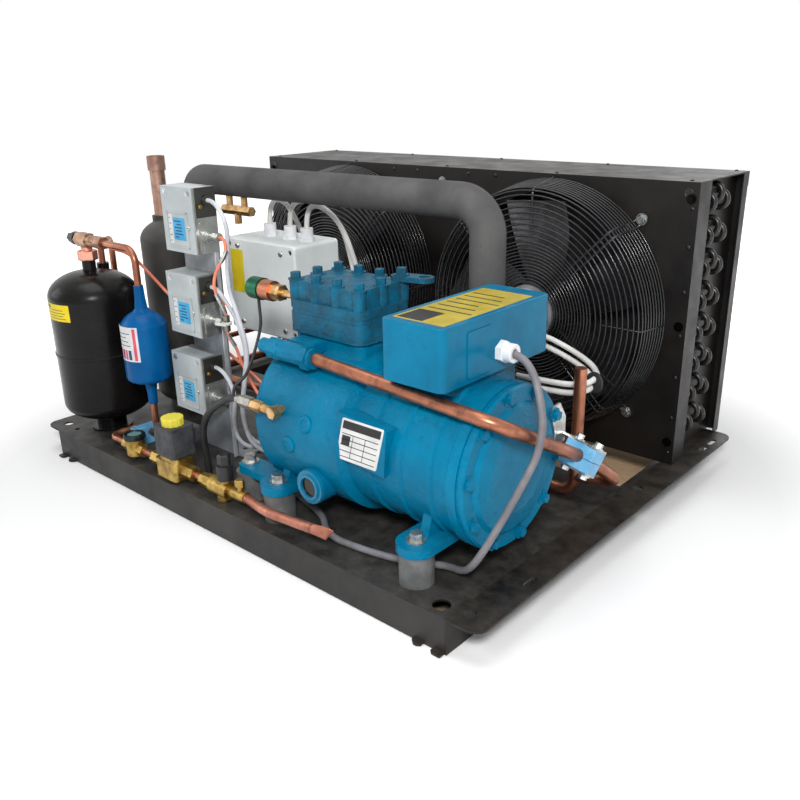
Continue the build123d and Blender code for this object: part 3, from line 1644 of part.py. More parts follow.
# Suction pipe from the accumulator to the compressor, in foam insulation
suction_top = [(out_x, out_y, suction_z), (drop_x, drop_y, suction_z)]
suction_route = [(out_x, out_y, boss_top), *suction_top, (drop_x, drop_y, sv_top)]
foam_route = [(out_x, out_y, boss_top + 1), *suction_top, (drop_x, drop_y, sv_top + 4)]
save(tube(suction_route, suction_r, suction_r - 1.5, limit=48, name="suction_pipe"), "suction_pipe")
save(
    tube(foam_route, insulation_r, suction_r + seat_clear, limit=48, name="suction_insulation"),
    "suction_insulation",
)

# Brass access ports on the suction pipe
tee_y = out_y + (drop_y - out_y) * 0.17
tee_z = 446.0
with BuildPart() as access_ports:
    with BuildSketch(Plane.YZ.offset(-288)):
        with Locations((tee_y, tee_z)):
            RegularPolygon(8, 6, major_radius=False)
    extrude(amount=80)
    with BuildSketch(Plane.XY.offset(tee_z)):
        with Locations((-270, tee_y), (-228, tee_y)):
            Circle(6)
    extrude(amount=suction_z - insulation_r - 0.2 - tee_z)
    with BuildSketch(Plane.XY.offset(tee_z)):
        with Locations((-249, tee_y)):
            Circle(6.5)
    extrude(amount=-24)
save(access_ports.part, "access_fittings")

# Instrument stand: bent plate with a foot on the deck
with BuildPart() as instrument_stand:
    with BuildSketch(Plane.XZ.offset(-stand_y)):
        with BuildLine():
            Polyline(
                (stand_x0, deck_top),
                (stand_x1, deck_top),
                (stand_x1, stand_top),
                (stand_x0, stand_top),
                close=True,
            )
        make_face()
        with Locations((-156, 200), (-156, 340)):
            SlotOverall(24, 9, rotation=90, mode=Mode.SUBTRACT)
    extrude(amount=-stand_sheet)
    with BuildSketch(Plane.XY.offset(deck_top)):
        with Locations(((stand_x0 + stand_x1 + 16) / 2, stand_y + 20)):
            Rectangle(stand_x1 + 16 - stand_x0, 40)
        with Locations((stand_x0 + 24, stand_y + 24), (stand_x1 - 10, stand_y + 24)):
            Circle(4.5, mode=Mode.SUBTRACT)
    extrude(amount=stand_sheet)
    with BuildSketch(Plane.YZ.offset(stand_x0)):
        with Locations((stand_y + 9, (stand_top + deck_top) / 2)):
            Rectangle(18, stand_top - deck_top)
    extrude(amount=stand_sheet)
save(instrument_stand.part, "instrument_stands")

# Pressure switches: sheet chassis with a bellows housing, plastic cover on the front
cover_depth = 30.0
line_entry_y = stand_y - 18
bellows_drop = 24.0
cable_rise = 31.0
nut_reach = 27.0
for number, (x, z) in enumerate(zip(switch_x, switch_z), start=1):
    with BuildPart() as switch_chassis:
        with BuildSketch(Plane.XZ.offset(-stand_y)):
            with Locations((x, z)):
                Rectangle(switch_width, switch_height)
        extrude(amount=switch_depth - cover_depth)
        with BuildSketch(Plane.YZ.offset(x + switch_width / 2 - 2)):
            with Locations((stand_y - switch_depth / 2, z)):
                Rectangle(switch_depth - 2, switch_height)
        extrude(amount=2)
        with BuildSketch(Plane.XZ.offset(-stand_y + 3)):
            with Locations((x, z)):
                Rectangle(switch_width - 6, switch_height - 6)
        extrude(amount=switch_depth - cover_depth, mode=Mode.SUBTRACT)
        with BuildSketch(Plane.YZ.offset(x + switch_width / 2)):
            with Locations((line_entry_y, z - bellows_drop)):
                RectangleRounded(33, 46, 3)
        extrude(amount=1.6)
        for r, reach in ((14, 5.5), (10.5, 9), (7.5, 15)):
            with BuildSketch(Plane.YZ.offset(x + switch_width / 2)):
                with Locations((line_entry_y, z - bellows_drop)):
                    Circle(r)
            extrude(amount=reach)
        with BuildSketch(Plane.YZ.offset(x + switch_width / 2 + 14)):
            with Locations((line_entry_y, z - bellows_drop)):
                RegularPolygon(6, 6, major_radius=False)
        extrude(amount=nut_reach - 14)
        with BuildSketch(Plane.YZ.offset(x + switch_width / 2)):
            with Locations((line_entry_y, z + cable_rise)):
                Circle(8.5)
        extrude(amount=4)
    save(switch_chassis.part, "switch_chassis")

with BuildPart() as switch_covers:
    for x, z in zip(switch_x, switch_z):
        with BuildSketch(Plane.XZ.offset(-stand_y + switch_depth - cover_depth)):
            with Locations((x - 1.2, z)):
                Rectangle(switch_width - 2.4, switch_height)
        extrude(amount=cover_depth)
        with BuildSketch(Plane.XZ.offset(-stand_y + switch_depth - cover_depth)):
            with Locations((x - 1.2, z)):
                Rectangle(switch_width - 8.4, switch_height - 6)
        extrude(amount=cover_depth - 3, mode=Mode.SUBTRACT)
save(switch_covers.part, "switch_covers")

with BuildPart() as switch_screws:
    for x, z in zip(switch_x, switch_z):
        for dx in (-30, 30):
            bolt_on(facing(x + dx, stand_y - switch_depth, z + 42, (0, -1, 0)), 6, 2, 0.8)
save(switch_screws.part, "small_bolts")

# Control box on its bracket behind the stand, open to the front under a deep lid
ctrl_mid = ((ctrl_x0 + ctrl_x1) / 2, (ctrl_z0 + ctrl_z1) / 2)
ctrl_back = ctrl_front + ctrl_depth
ctrl_w = ctrl_x1 - ctrl_x0
ctrl_h = ctrl_z1 - ctrl_z0
gland_x = (-205.0, -150.0, -106.0)
ctrl_gland_y = -52.0
with BuildPart() as control_box:
    with BuildSketch(Plane.XZ.offset(-ctrl_back)):
        with Locations(ctrl_mid):
            RectangleRounded(ctrl_w, ctrl_h, 7)
    extrude(amount=ctrl_depth - ctrl_lid)
    with BuildSketch(Plane.XZ.offset(-ctrl_back + ctrl_wall)):
        with Locations(ctrl_mid):
            RectangleRounded(ctrl_w - 2 * ctrl_wall, ctrl_h - 2 * ctrl_wall, 4)
    extrude(amount=ctrl_depth, mode=Mode.SUBTRACT)
    with BuildSketch(Plane.XY.offset(ctrl_z1 - ctrl_wall)):
        with Locations(*[(x, ctrl_gland_y) for x in gland_x]):
            Circle(9.8)
    extrude(amount=ctrl_wall, mode=Mode.SUBTRACT)
save(control_box.part, "control_box")

with BuildPart() as control_lid:
    with BuildSketch(Plane.XZ.offset(-ctrl_front - ctrl_lid)):
        with Locations(ctrl_mid):
            RectangleRounded(ctrl_w, ctrl_h, 7)
    extrude(amount=ctrl_lid)
    fillet(control_lid.faces().sort_by(Axis.Y)[0].edges(), 4)
    with BuildSketch(Plane.XZ.offset(-ctrl_front - ctrl_lid)):
        with Locations(ctrl_mid):
            RectangleRounded(ctrl_w - 2 * ctrl_wall, ctrl_h - 2 * ctrl_wall, 4)
    extrude(amount=ctrl_lid - ctrl_wall, mode=Mode.SUBTRACT)
    with BuildSketch(Plane.XZ.offset(-ctrl_front)):
        with Locations(ctrl_mid):
            with GridLocations(ctrl_w - 24, ctrl_h - 24, 2, 2):
                Circle(4.5)
    extrude(amount=-3, mode=Mode.SUBTRACT)
save(control_lid.part, "control_lid")

cable_r = 4.5
with BuildPart() as control_glands:
    for x in gland_x:
        seat = facing(x, ctrl_gland_y, ctrl_z1, (0, 0, 1))
        for plane, shape_r, amount in ((seat, 12, 7), (seat.offset(7), 11, 16), (seat.offset(-10), 9.5, 12)):
            with BuildSketch(plane) as ring:
                if amount == 7:
                    RegularPolygon(shape_r, 6, major_radius=False)
                else:
                    Circle(shape_r)
            extrude(ring.sketch, amount=amount)
        with BuildSketch(seat.offset(-10)) as bore:
            Circle(cable_r + seat_clear)
        extrude(bore.sketch, amount=40, mode=Mode.SUBTRACT)
save(control_glands.part, "cable_glands")

bracket_back = ctrl_back + stand_sheet
with BuildPart() as control_bracket:
    with BuildSketch(Plane.XZ.offset(-bracket_back)):
        with Locations((ctrl_mid[0], (deck_top + ctrl_z1 - 10) / 2)):
            Rectangle(120, ctrl_z1 - 10 - deck_top)
    extrude(amount=stand_sheet)
    with BuildSketch(Plane.XY.offset(deck_top)):
        with Locations((ctrl_mid[0], bracket_back + 14)):
            Rectangle(120, 28)
    extrude(amount=stand_sheet)
save(control_bracket.part, "instrument_stands")

# Liquid return from the coil's left end to the receiver's dome
return_z = first_bend_z + bend_pitch - tube_pitch / 2
inlet_x = receiver_x - 26
inlet_y = vessel_y + 41
save(
    tube(
        [
            (-tube_sheet_x - casing_sheet, row_y[0], return_z),
            (-503, row_y[0], return_z),
            (-503, -205, return_z),
            (-503, -205, 388),
            (inlet_x, inlet_y, 388),
            (inlet_x, inlet_y, 356),
        ],
        line_r,
        line_r - line_wall,
        limit=20,
        name="return_pipe",
    ),
    "liquid_pipes",
)

# Casing bolts: through the rails and along the edge of the front panel
with BuildPart() as casing_bolts:
    for x, z in ((-478, 90), (-478, 288), (-478, 486), (478, 90), (478, 288), (478, 486), (0, 486), (0, 90)):
        bolt_on(facing(x, coil_front, z, (0, -1, 0)), 9, 4)
save(casing_bolts.part, "small_bolts")

# Sensor on the head's left face and brass fitting on the bearing cover
sensor_y = comp_y - 30
sensor_z = head_z + 9
with BuildPart() as head_sensor:
    for x_from, length, r in ((0, 3, 9), (3, 31, 5.5), (54, 26, 15.5), (78, 26, 17)):
        with BuildSketch(Plane.YZ.offset(bank_x0 - x_from)):
            with Locations((sensor_y, sensor_z)):
                Circle(r)
        extrude(amount=-length)
    with BuildSketch(Plane.YZ.offset(bank_x0 - 34)):
        with Locations((sensor_y, sensor_z)):
            RegularPolygon(11, 6, major_radius=False)
    extrude(amount=-20)
    fillet(head_sensor.faces().sort_by(Axis.X)[0].edges(), 3)
save(head_sensor.part, "access_fittings")

# Oil pressure fitting: elbow on the front of the crankcase, pointing to the left
fitting_x = 138.0
fitting_y = comp_y - 127.5
fitting_z = comp_z + 38
fitting_end = fitting_x - 83
with BuildPart() as oil_fitting:
    with BuildSketch(Plane.XZ.offset(-fitting_y)):
        with Locations((fitting_x, fitting_z)):
            Circle(6)
    extrude(amount=-16)
    with BuildSketch(Plane.XZ.offset(-fitting_y + 8)):
        with Locations((fitting_x, fitting_z)):
            RegularPolygon(8, 6, major_radius=False)
    extrude(amount=-16)
    for x_from, length, r in ((0, 30, 6.5), (70, 13, 6.5)):
        with BuildSketch(Plane.YZ.offset(fitting_x - x_from)):
            with Locations((fitting_y, fitting_z)):
                Circle(r)
        extrude(amount=-length)
    for x_from, length, r in ((26, 24, 7.5), (48, 24, 8.5)):
        with BuildSketch(Plane.YZ.offset(fitting_x - x_from)):
            with Locations((fitting_y, fitting_z)):
                RegularPolygon(r, 6, major_radius=False)
        extrude(amount=-length)
    with BuildSketch(Plane.YZ.offset(fitting_x - 10)):
        with Locations((comp_y, comp_z)):
            Circle(crankcase_r + 0.2)
    extrude(amount=20, mode=Mode.SUBTRACT)
save(oil_fitting.part, "access_fittings")

# Hose ports on the bearing cover and the tee at the middle switch
port_places = ((comp_y, comp_z - 50), (comp_y + 28, comp_z - 32))
port_x = comp_left - 14
with BuildPart() as hose_ports:
    with BuildSketch(Plane.YZ.offset(port_x)):
        with Locations(*port_places):
            RegularPolygon(7, 6, major_radius=False)
    extrude(amount=-9)
    with BuildSketch(Plane.YZ.offset(port_x - 9)):
        with Locations(*port_places):
            Circle(4.5)
    extrude(amount=-8)
save(hose_ports.part, "access_fittings")

tee_x = switch_x[1] + switch_width / 2 + nut_reach + 9
tee_z = switch_z[1] - bellows_drop
with BuildPart() as tee:
    with BuildSketch(Plane.YZ.offset(tee_x - 9)):
        with Locations((line_entry_y, tee_z)):
            Circle(5)
    extrude(amount=9)
    with BuildSketch(Plane.XY.offset(tee_z - 13)):
        with Locations((tee_x, line_entry_y)):
            Circle(5.5)
    extrude(amount=26)
save(tee.part, "access_fittings")


# Cables and thin tubes held at both ends
def smooth_route(way, step):
    """Points at even spacing along a smooth curve through the way points."""
    pts = [Vector(*p) for p in way]
    ext = [pts[0] * 2 - pts[1]] + pts + [pts[-1] * 2 - pts[-2]]
    dense = []
    for p0, p1, p2, p3 in zip(ext, ext[1:], ext[2:], ext[3:]):
        for k in range(24):
            t = k / 24
            a = p1 * 2 + (p2 - p0) * t
            b = (p0 * 2 - p1 * 5 + p2 * 4 - p3) * t**2
            c = (p1 * 3 - p0 - p2 * 3 + p3) * t**3
            dense.append((a + b + c) * 0.5)
    dense.append(pts[-1])
    total = sum((b - a).length for a, b in zip(dense, dense[1:]))
    count = max(2, round(total / step))
    route = [dense[0]]
    travelled = 0.0
    for a, b in zip(dense, dense[1:]):
        travelled += (b - a).length
        if travelled >= total * len(route) / count - 1e-6 and len(route) < count:
            route.append(b)
    route.append(dense[-1])
    return [tuple(p) for p in route]


def cords(label, ways, radius, step):
    """Cables of one kind in one node, each leaving and entering straight."""
    with BuildPart() as bundle:
        for number, way in enumerate(ways, start=1):
            route = [way[0], *smooth_route(way[1:-1], step), way[-1]]
            add(tube(route, radius, name=f"{label} {number}"))
    save(bundle.part, label)


motor_cable_way = [
    (430, -206, 336),
    (448, -206, 336),
    (470, -216, 330),
    (489, -228, 306),
    (500, -233, 279),
    (504, -237, 248),
    (503, -248, 226),
    (496, -264, 196),
    (486, -283, 160),
    (477, -302, 128),
    (462, -312, 94),
    (438, -304, 66),
    (406, -294, 57),
    (345, -323, 56.5),
    (286, -336, 56.5),
    (220, -338, 56.5),
    (172, -304, 56.5),
    (100, -284, 56.5),
    (20, -256, 56.5),
    (-18, -214, 57),
    (-20, -160, 62),
    (-56, -112, 102),
    (-97, -74, 160),
    (-97, -74, 200),
    (-97, -74, ctrl_z0 - 0.3),
]
cords("motor_cable", [motor_cable_way], motor_cable_r, 34)

fan_cable_ways = [
    [
        (254, 118.2, 281),
        (254, 94, 281),
        (280, 82, 270),
        (300, 98, 262),
        (352, 98, 246),
        (400, 70, 240),
        (428, 36, 236),
        (420, 8, 230),
        (380, 8, 224),
        (300, 9, 220),
        (180, 7, 218),
        (60, 7, 222),
        (-20, 8, 270),
        (-44, 6, 350),
        (-58, -14, 424),
        (-80, -40, 462),
        (-100, -51, 462),
        (-106, -52, 444),
        (-106, -52, 414),
    ],
    [
        (246, 118.2, 271.5),
        (246, 92, 271.5),
        (270, 80, 254),
        (292, 97, 248),
        (346, 98, 232),
        (396, 70, 226),
        (424, 36, 222),
        (416, 8, 216),
        (376, 8, 210),
        (298, 9, 206),
        (178, 7, 204),
        (56, 8, 210),
        (-36, 10, 262),
        (-62, 14, 350),
        (-82, 6, 424),
        (-112, -22, 462),
        (-140, -48, 466),
        (-150, -52, 444),
        (-150, -52, 414),
    ],
    [
        (-230, 118.2, 276),
        (-230, 100, 276),
        (-218, 66, 316),
        (-210, 26, 400),
        (-206, -12, 456),
        (-205, -44, 464),
        (-205, -52, 444),
        (-205, -52, 414),
    ],
]
cords("fan_cables", fan_cable_ways, 4.5, 30)

cable_x = [x + switch_width / 2 + 4.2 for x in switch_x]
cable_z = [z + cable_rise for z in switch_z]
ctrl_low = ctrl_z0 - 0.3
switch_cable_ways = [
    [
        (cable_x[0], line_entry_y, cable_z[0]),
        (cable_x[0] + 14, line_entry_y, cable_z[0]),
        (-70, -257, 476),
        (-61, -256, 452),
        (-66, -256, 417),
        (-71, -256, 390),
        (-69, -257, 353),
        (-52, -260, 325),
        (-36, -263, 294),
        (-28, -263, 266),
        (-34, -262, 240),
        (-50, -258, 199),
        (-68, -252, 156),
        (-73, -248, 128),
        (-70, -244, 98),
        (-62, -232, 72),
        (-44, -206, 62),
        (-44, -160, 66),
        (-76, -112, 112),
        (-118, -76, 164),
        (-123, -74, 200),
        (-123, -74, ctrl_low),
    ],
    [
        (cable_x[1], line_entry_y, cable_z[1]),
        (cable_x[1] + 14, line_entry_y, cable_z[1]),
        (-84, -256, 336),
        (-72, -250, 314),
        (-62, -248, 288),
        (-52, -248, 260),
        (-55, -247, 236),
        (-70, -244, 194),
        (-86, -240, 148),
        (-91, -236, 122),
        (-88, -232, 92),
        (-78, -218, 74),
        (-62, -196, 68),
        (-62, -160, 78),
        (-94, -112, 120),
        (-143, -78, 164),
        (-149, -74, 200),
        (-149, -74, ctrl_low),
    ],
    [
        (cable_x[2], line_entry_y, cable_z[2]),
        (cable_x[2] + 14, line_entry_y, cable_z[2]),
        (-96, -260, 207),
        (-82, -260, 194),
        (-78, -258, 172),
        (-87, -255, 148),
        (-99, -250, 122),
        (-101, -247, 97),
        (-96, -236, 72),
        (-84, -206, 62),
        (-84, -160, 74),
        (-116, -112, 124),
        (-168, -78, 164),
        (-175, -74, 200),
        (-175, -74, ctrl_low),
    ],
]
cords("switch_lines", switch_cable_ways, 3.5, 26)

hose_x = switch_x[0] + switch_width / 2 + nut_reach
hose_z = switch_z[0] - bellows_drop
port_end = port_x - 17.2
hose_ways = [
    [
        (hose_x + 0.2, line_entry_y, hose_z),
        (hose_x + 11, line_entry_y, hose_z),
        (-58, -262, 424),
        (-66, -268, 404),
        (-79, -274, 382),
        (-84, -275, 366),
        (-84, -273, 349),
        (-80, -266, 331),
        (tee_x, line_entry_y, tee_z + 26),
        (tee_x, line_entry_y, tee_z + 13.2),
    ],
    [
        (tee_x, line_entry_y, tee_z - 13.2),
        (tee_x, line_entry_y, tee_z - 24),
        (-77, -250, 262),
        (-80, -240, 236),
        (-74, -230, 200),
        (-44, -225, 160),
        (0, comp_y, comp_z - 50),
        (port_end - 16, comp_y, comp_z - 50),
        (port_end, comp_y, comp_z - 50),
    ],
    [
        (receiver_x + 62, -297, 399),
        (receiver_x + 80, -294, 396),
        (-305, -282, 388),
        (-306, -246, 345),
        (-296, -222, 308),
        (-243, -208, 262),
        (-160, -205, 222),
        (-100, -204, 196),
        (-40, -200, 166),
        (port_end - 16, comp_y + 28, comp_z - 32),
        (port_end, comp_y + 28, comp_z - 32),
    ],
]
cords("switch_lines", hose_ways, 2.6, 22)

sheath_ways = [
    [
        (fitting_end - 0.2, fitting_y, fitting_z),
        (fitting_end - 14, fitting_y, fitting_z),
        (22, fitting_y, 218),
        (-3, -350, 203),
        (-28, -346, 185),
        (-49, -342, 163),
        (-65, -337, 138),
        (-74, -330, 110),
        (-76, -326, 82),
        (-76, -326, 66),
        (-76, -326, deck_top + 0.2),
    ],
]
cords("switch_lines", sheath_ways, 5.5, 28)

wire_x = bank_x0 - 92
sensor_ways = [
    [
        (wire_x, sensor_y, sensor_z - 17.2),
        (wire_x, sensor_y, sensor_z - 30),
        (8, -260, 314),
        (26, -286, 290),
        (48, -318, 270),
        (56, -340, 254),
        (fitting_end - 8, fitting_y, fitting_z + 18),
        (fitting_end - 8, fitting_y, fitting_z + 5.7),
    ],
]
cords("switch_lines", sensor_ways, 2.4, 22)
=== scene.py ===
import math

import bpy
from mathutils import Matrix, Vector


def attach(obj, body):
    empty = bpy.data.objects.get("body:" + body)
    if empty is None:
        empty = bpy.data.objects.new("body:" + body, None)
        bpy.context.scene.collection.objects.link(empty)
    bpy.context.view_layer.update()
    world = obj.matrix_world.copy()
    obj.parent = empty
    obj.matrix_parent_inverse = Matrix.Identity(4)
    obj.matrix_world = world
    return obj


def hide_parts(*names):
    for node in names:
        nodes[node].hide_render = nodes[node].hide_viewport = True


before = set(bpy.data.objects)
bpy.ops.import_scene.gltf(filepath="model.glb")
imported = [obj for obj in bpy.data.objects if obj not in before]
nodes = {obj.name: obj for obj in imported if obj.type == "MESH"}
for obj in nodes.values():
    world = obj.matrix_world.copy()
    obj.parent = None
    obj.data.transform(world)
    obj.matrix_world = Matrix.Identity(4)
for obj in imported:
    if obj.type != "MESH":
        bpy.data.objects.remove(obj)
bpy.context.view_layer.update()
MM = 0.001
FLOOR_Z = -0.0012
FLOOR_HALF = 4.0


# Colours and materials


def rgb(r, g, b):
    """Linear colour from display values of 0 to 255."""
    out = []
    for v in (r, g, b):
        v /= 255
        out.append(v / 12.92 if v <= 0.04045 else ((v + 0.055) / 1.055) ** 2.4)
    return (*out, 1.0)


class Mat:
    """A Principled material built from procedural nodes in object space."""

    def __init__(self, name, rough=0.5, metal=0.0, coat=0.0, gloss=0.5):
        self.mat = bpy.data.materials.new(name)
        self.mat.use_nodes = True
        self.nodes = self.mat.node_tree.nodes
        self.links = self.mat.node_tree.links
        self.shader = self.nodes["Principled BSDF"]
        self.shader.inputs["Roughness"].default_value = rough
        self.shader.inputs["Metallic"].default_value = metal
        self.shader.inputs["Coat Weight"].default_value = coat
        self.shader.inputs["Specular IOR Level"].default_value = gloss
        self.place = self.nodes.new("ShaderNodeTexCoord").outputs["Object"]
        self.colour = None
        self.height = None

    def noise(self, scale, detail=4.0, rough=0.55, stretch=None):
        place = self.place
        if stretch:
            mapping = self.nodes.new("ShaderNodeMapping")
            mapping.inputs["Scale"].default_value = stretch
            self.links.new(place, mapping.inputs["Vector"])
            place = mapping.outputs["Vector"]
        tex = self.nodes.new("ShaderNodeTexNoise")
        tex.inputs["Scale"].default_value = scale
        tex.inputs["Detail"].default_value = detail
        tex.inputs["Roughness"].default_value = rough
        self.links.new(place, tex.inputs["Vector"])
        return tex.outputs["Fac"]

    def span(self, value, low, high, to_low=0.0, to_high=1.0):
        node = self.nodes.new("ShaderNodeMapRange")
        for key, number in (("From Min", low), ("From Max", high), ("To Min", to_low), ("To Max", to_high)):
            node.inputs[key].default_value = number
        self.links.new(value, node.inputs["Value"])
        return node.outputs["Result"]

    def math(self, kind, a, b):
        node = self.nodes.new("ShaderNodeMath")
        node.operation = kind
        for socket, value in zip(node.inputs, (a, b)):
            if isinstance(value, (int, float)):
                socket.default_value = value
            else:
                self.links.new(value, socket)
        return node.outputs["Value"]

    def blend(self, factor, a, b):
        node = self.nodes.new("ShaderNodeMix")
        node.data_type = "RGBA"
        self.links.new(factor, node.inputs["Factor"])
        for socket, value in ((node.inputs[6], a), (node.inputs[7], b)):
            if isinstance(value, tuple):
                socket.default_value = value
            else:
                self.links.new(value, socket)
        return node.outputs[2]

    def paint(self, dark, light, scale=14, detail=6, low=0.35, high=0.65):
        """Base colour that drifts between two shades."""
        self.colour = self.blend(self.span(self.noise(scale, detail), low, high), dark, light)
        return self

    def over(self, factor, colour):
        self.colour = self.blend(factor, self.colour, colour)
        return self

    def stains(self, colour, scale, low, high, amount=1.0, stretch=None):
        return self.over(self.span(self.noise(scale, 8, 0.65, stretch), low, high, 0, amount), colour)

    def dust(self, colour, amount=0.3, scale=60):
        """Dust on faces that look up."""
        geo = self.nodes.new("ShaderNodeNewGeometry")
        split = self.nodes.new("ShaderNodeSeparateXYZ")
        self.links.new(geo.outputs["Normal"], split.inputs["Vector"])
        up = self.span(split.outputs["Z"], 0.5, 1.0)
        speck = self.span(self.noise(scale, 9, 0.7), 0.4, 0.72, 0, amount)
        return self.over(self.math("MULTIPLY", up, speck), colour)

    def axis(self, name):
        split = self.nodes.new("ShaderNodeSeparateXYZ")
        self.links.new(self.place, split.inputs["Vector"])
        return split.outputs[name]

    def zone(self, **limits):
        """1 inside the box given as x=(low, high) and so on, in metres."""
        result = None
        for key, (low, high) in limits.items():
            value = self.axis(key.upper())
            part = self.math(
                "MULTIPLY", self.math("GREATER_THAN", value, low), self.math("LESS_THAN", value, high)
            )
            result = part if result is None else self.math("MULTIPLY", result, part)
        return result

    def rough_between(self, low, high, scale=30, stretch=None):
        self.links.new(
            self.span(self.noise(scale, 6, 0.6, stretch), 0.3, 0.7, low, high),
            self.shader.inputs["Roughness"]
        )
        return self

    def relief(self, scale, depth, detail=3.0, stretch=None):
        """Surface relief of the given depth in metres."""
        bump = self.nodes.new("ShaderNodeBump")
        bump.inputs["Strength"].default_value = 1.0
        bump.inputs["Distance"].default_value = depth
        self.links.new(self.noise(scale, detail, 0.5, stretch), bump.inputs["Height"])
        if self.height:
            self.links.new(self.height, bump.inputs["Normal"])
        self.height = bump.outputs["Normal"]
        return self

    def done(self):
        self.links.new(self.colour, self.shader.inputs["Base Color"])
        if self.height:
            self.links.new(self.height, self.shader.inputs["Normal"])
        return self.mat


def black_sheet(name, dark, light, dust, amount, rough=(0.34, 0.56)):
    m = Mat(name, 0.42, gloss=0.3).paint(dark, light, 9)
    m.stains(rgb(74, 71, 67), 45, 0.66, 0.78, 0.3)
    m.stains(rgb(120, 117, 112), 230, 0.7, 0.76, 0.25)
    m.dust(dust, amount, 34)
    return m.rough_between(*rough, 22).relief(900, 0.0001).relief(6, 0.0006).done()


M = {}
M["deck"] = black_sheet("deck_paint", rgb(28, 27, 26), rgb(46, 44, 42), rgb(98, 95, 90), 0.5)
M["casing"] = black_sheet("casing_paint", rgb(17, 15, 14), rgb(27, 24, 22), rgb(92, 86, 78), 0.35)
M["skirt"] = black_sheet("rail_paint", rgb(22, 19, 17), rgb(36, 31, 27), rgb(86, 80, 72), 0.42)
m = Mat("bend_paint", 0.3, gloss=0.45).paint(rgb(20, 18, 17), rgb(34, 30, 28), 40)
m.stains(rgb(96, 74, 58), 120, 0.7, 0.8, 0.5).rough_between(0.24, 0.4, 60)
M["bends"] = m.relief(500, 0.00006).done()
m = Mat("fin_aluminium", 0.42, 0.9).paint(rgb(92, 93, 96), rgb(134, 135, 138), 18)
M["fins"] = m.stains(rgb(48, 46, 44), 40, 0.58, 0.75, 0.7).rough_between(0.34, 0.55).done()
m = Mat("copper_tube", 0.36, 0.85).paint(rgb(128, 78, 58), rgb(176, 116, 90), 22, 7, 0.3, 0.68)
m.stains(rgb(88, 54, 44), 46, 0.52, 0.72, 0.75).stains(rgb(206, 150, 126), 130, 0.62, 0.74, 0.5)
M["copper"] = m.rough_between(0.26, 0.5, 60).relief(500, 0.00005).done()
m = Mat("copper_brown", 0.42, 0.75).paint(rgb(132, 98, 84), rgb(170, 136, 120), 30, 7)
m.stains(rgb(88, 66, 58), 60, 0.52, 0.72, 0.75).stains(rgb(204, 178, 166), 120, 0.64, 0.76, 0.5)
M["copper_brown"] = m.rough_between(0.32, 0.55, 70).relief(400, 0.00006).done()
m = Mat("copper_pink", 0.4, 0.8).paint(rgb(156, 96, 78), rgb(196, 134, 112), 30, 7)
m.stains(rgb(104, 66, 60), 52, 0.54, 0.74, 0.75)
M["copper_pink"] = m.rough_between(0.3, 0.52, 70).relief(500, 0.00005).done()
m = Mat("guard_coating", 0.24, gloss=0.6).paint(rgb(20, 20, 21), rgb(34, 34, 36), 60)
M["wire"] = m.rough_between(0.18, 0.3, 80).done()
m = Mat("motor_cast", 0.46, 0.6).paint(rgb(128, 129, 132), rgb(164, 165, 168), 50)
M["motor"] = m.stains(rgb(80, 78, 76), 90, 0.6, 0.75, 0.6).relief(700, 0.00015).done()
m = Mat("blade_coating", 0.3, 0.45).paint(rgb(30, 30, 32), rgb(52, 52, 55), 20)
M["blades"] = m.rough_between(0.2, 0.36, 40).relief(700, 0.0001).done()
m = Mat("zinc_plate", 0.34, 0.95).paint(rgb(160, 160, 156), rgb(206, 206, 202), 90)
M["zinc"] = m.stains(rgb(120, 112, 88), 140, 0.58, 0.74, 0.5).rough_between(0.22, 0.46, 120).done()
m = Mat("panel_bolts", 0.34, 0.95).paint(rgb(168, 170, 170), rgb(212, 214, 214), 90)
m.stains(rgb(112, 118, 132), 140, 0.58, 0.74, 0.5)
for low, high in ((0.45, 0.53), (-0.53, -0.45)):
    m.over(m.zone(x=(low, high), y=(0.18, 0.2)), rgb(24, 22, 21))
M["bolts"] = m.rough_between(0.22, 0.42, 120).done()
m = Mat("stand_sheet", 0.44, 0.45).paint(rgb(124, 128, 132), rgb(158, 162, 167), 16)
m.stains(rgb(70, 72, 75), 30, 0.52, 0.72, 0.55, (1, 1, 0.15))
M["stand"] = m.rough_between(0.38, 0.58).relief(900, 0.00005).done()
m = Mat("vessel_paint", 0.24, gloss=0.16).paint(rgb(10, 9, 9), rgb(22, 20, 19), 8)
m.dust(rgb(80, 76, 70), 0.25, 40).stains(rgb(56, 54, 52), 160, 0.7, 0.8, 0.3)
M["vessel"] = m.rough_between(0.16, 0.34, 14).relief(260, 0.00008).relief(12, 0.0005).done()
m = Mat("accumulator_paint", 0.5, gloss=0.25).paint(rgb(52, 51, 49), rgb(70, 68, 65), 9)
m.dust(rgb(96, 92, 86), 0.3, 40).rough_between(0.42, 0.58, 14)
M["accumulator"] = m.relief(260, 0.00012).done()
m = Mat("brass_forged", 0.34, 0.9).paint(rgb(140, 110, 50), rgb(196, 166, 92), 60, 7)
m.stains(rgb(84, 64, 32), 90, 0.52, 0.72, 0.8)
M["brass"] = m.rough_between(0.26, 0.5, 130).relief(700, 0.00016).done()
m = Mat("valve_bronze", 0.36, 0.85).paint(rgb(126, 92, 68), rgb(176, 140, 114), 60, 7)
m.stains(rgb(100, 84, 78), 110, 0.5, 0.72, 0.7)
m.over(m.zone(x=(-0.432, -0.395), z=(0.373, 0.393)), rgb(214, 150, 130))
M["bronze"] = m.rough_between(0.28, 0.5, 130).relief(600, 0.00012).done()
m = Mat("caps", 0.46).paint(rgb(20, 20, 21), rgb(36, 36, 37), 70)
m.over(m.zone(x=(-0.15, -0.08), z=(0.1465, 0.17)), rgb(226, 212, 70))
M["caps"] = m.rough_between(0.36, 0.52, 90).relief(900, 0.00006).done()
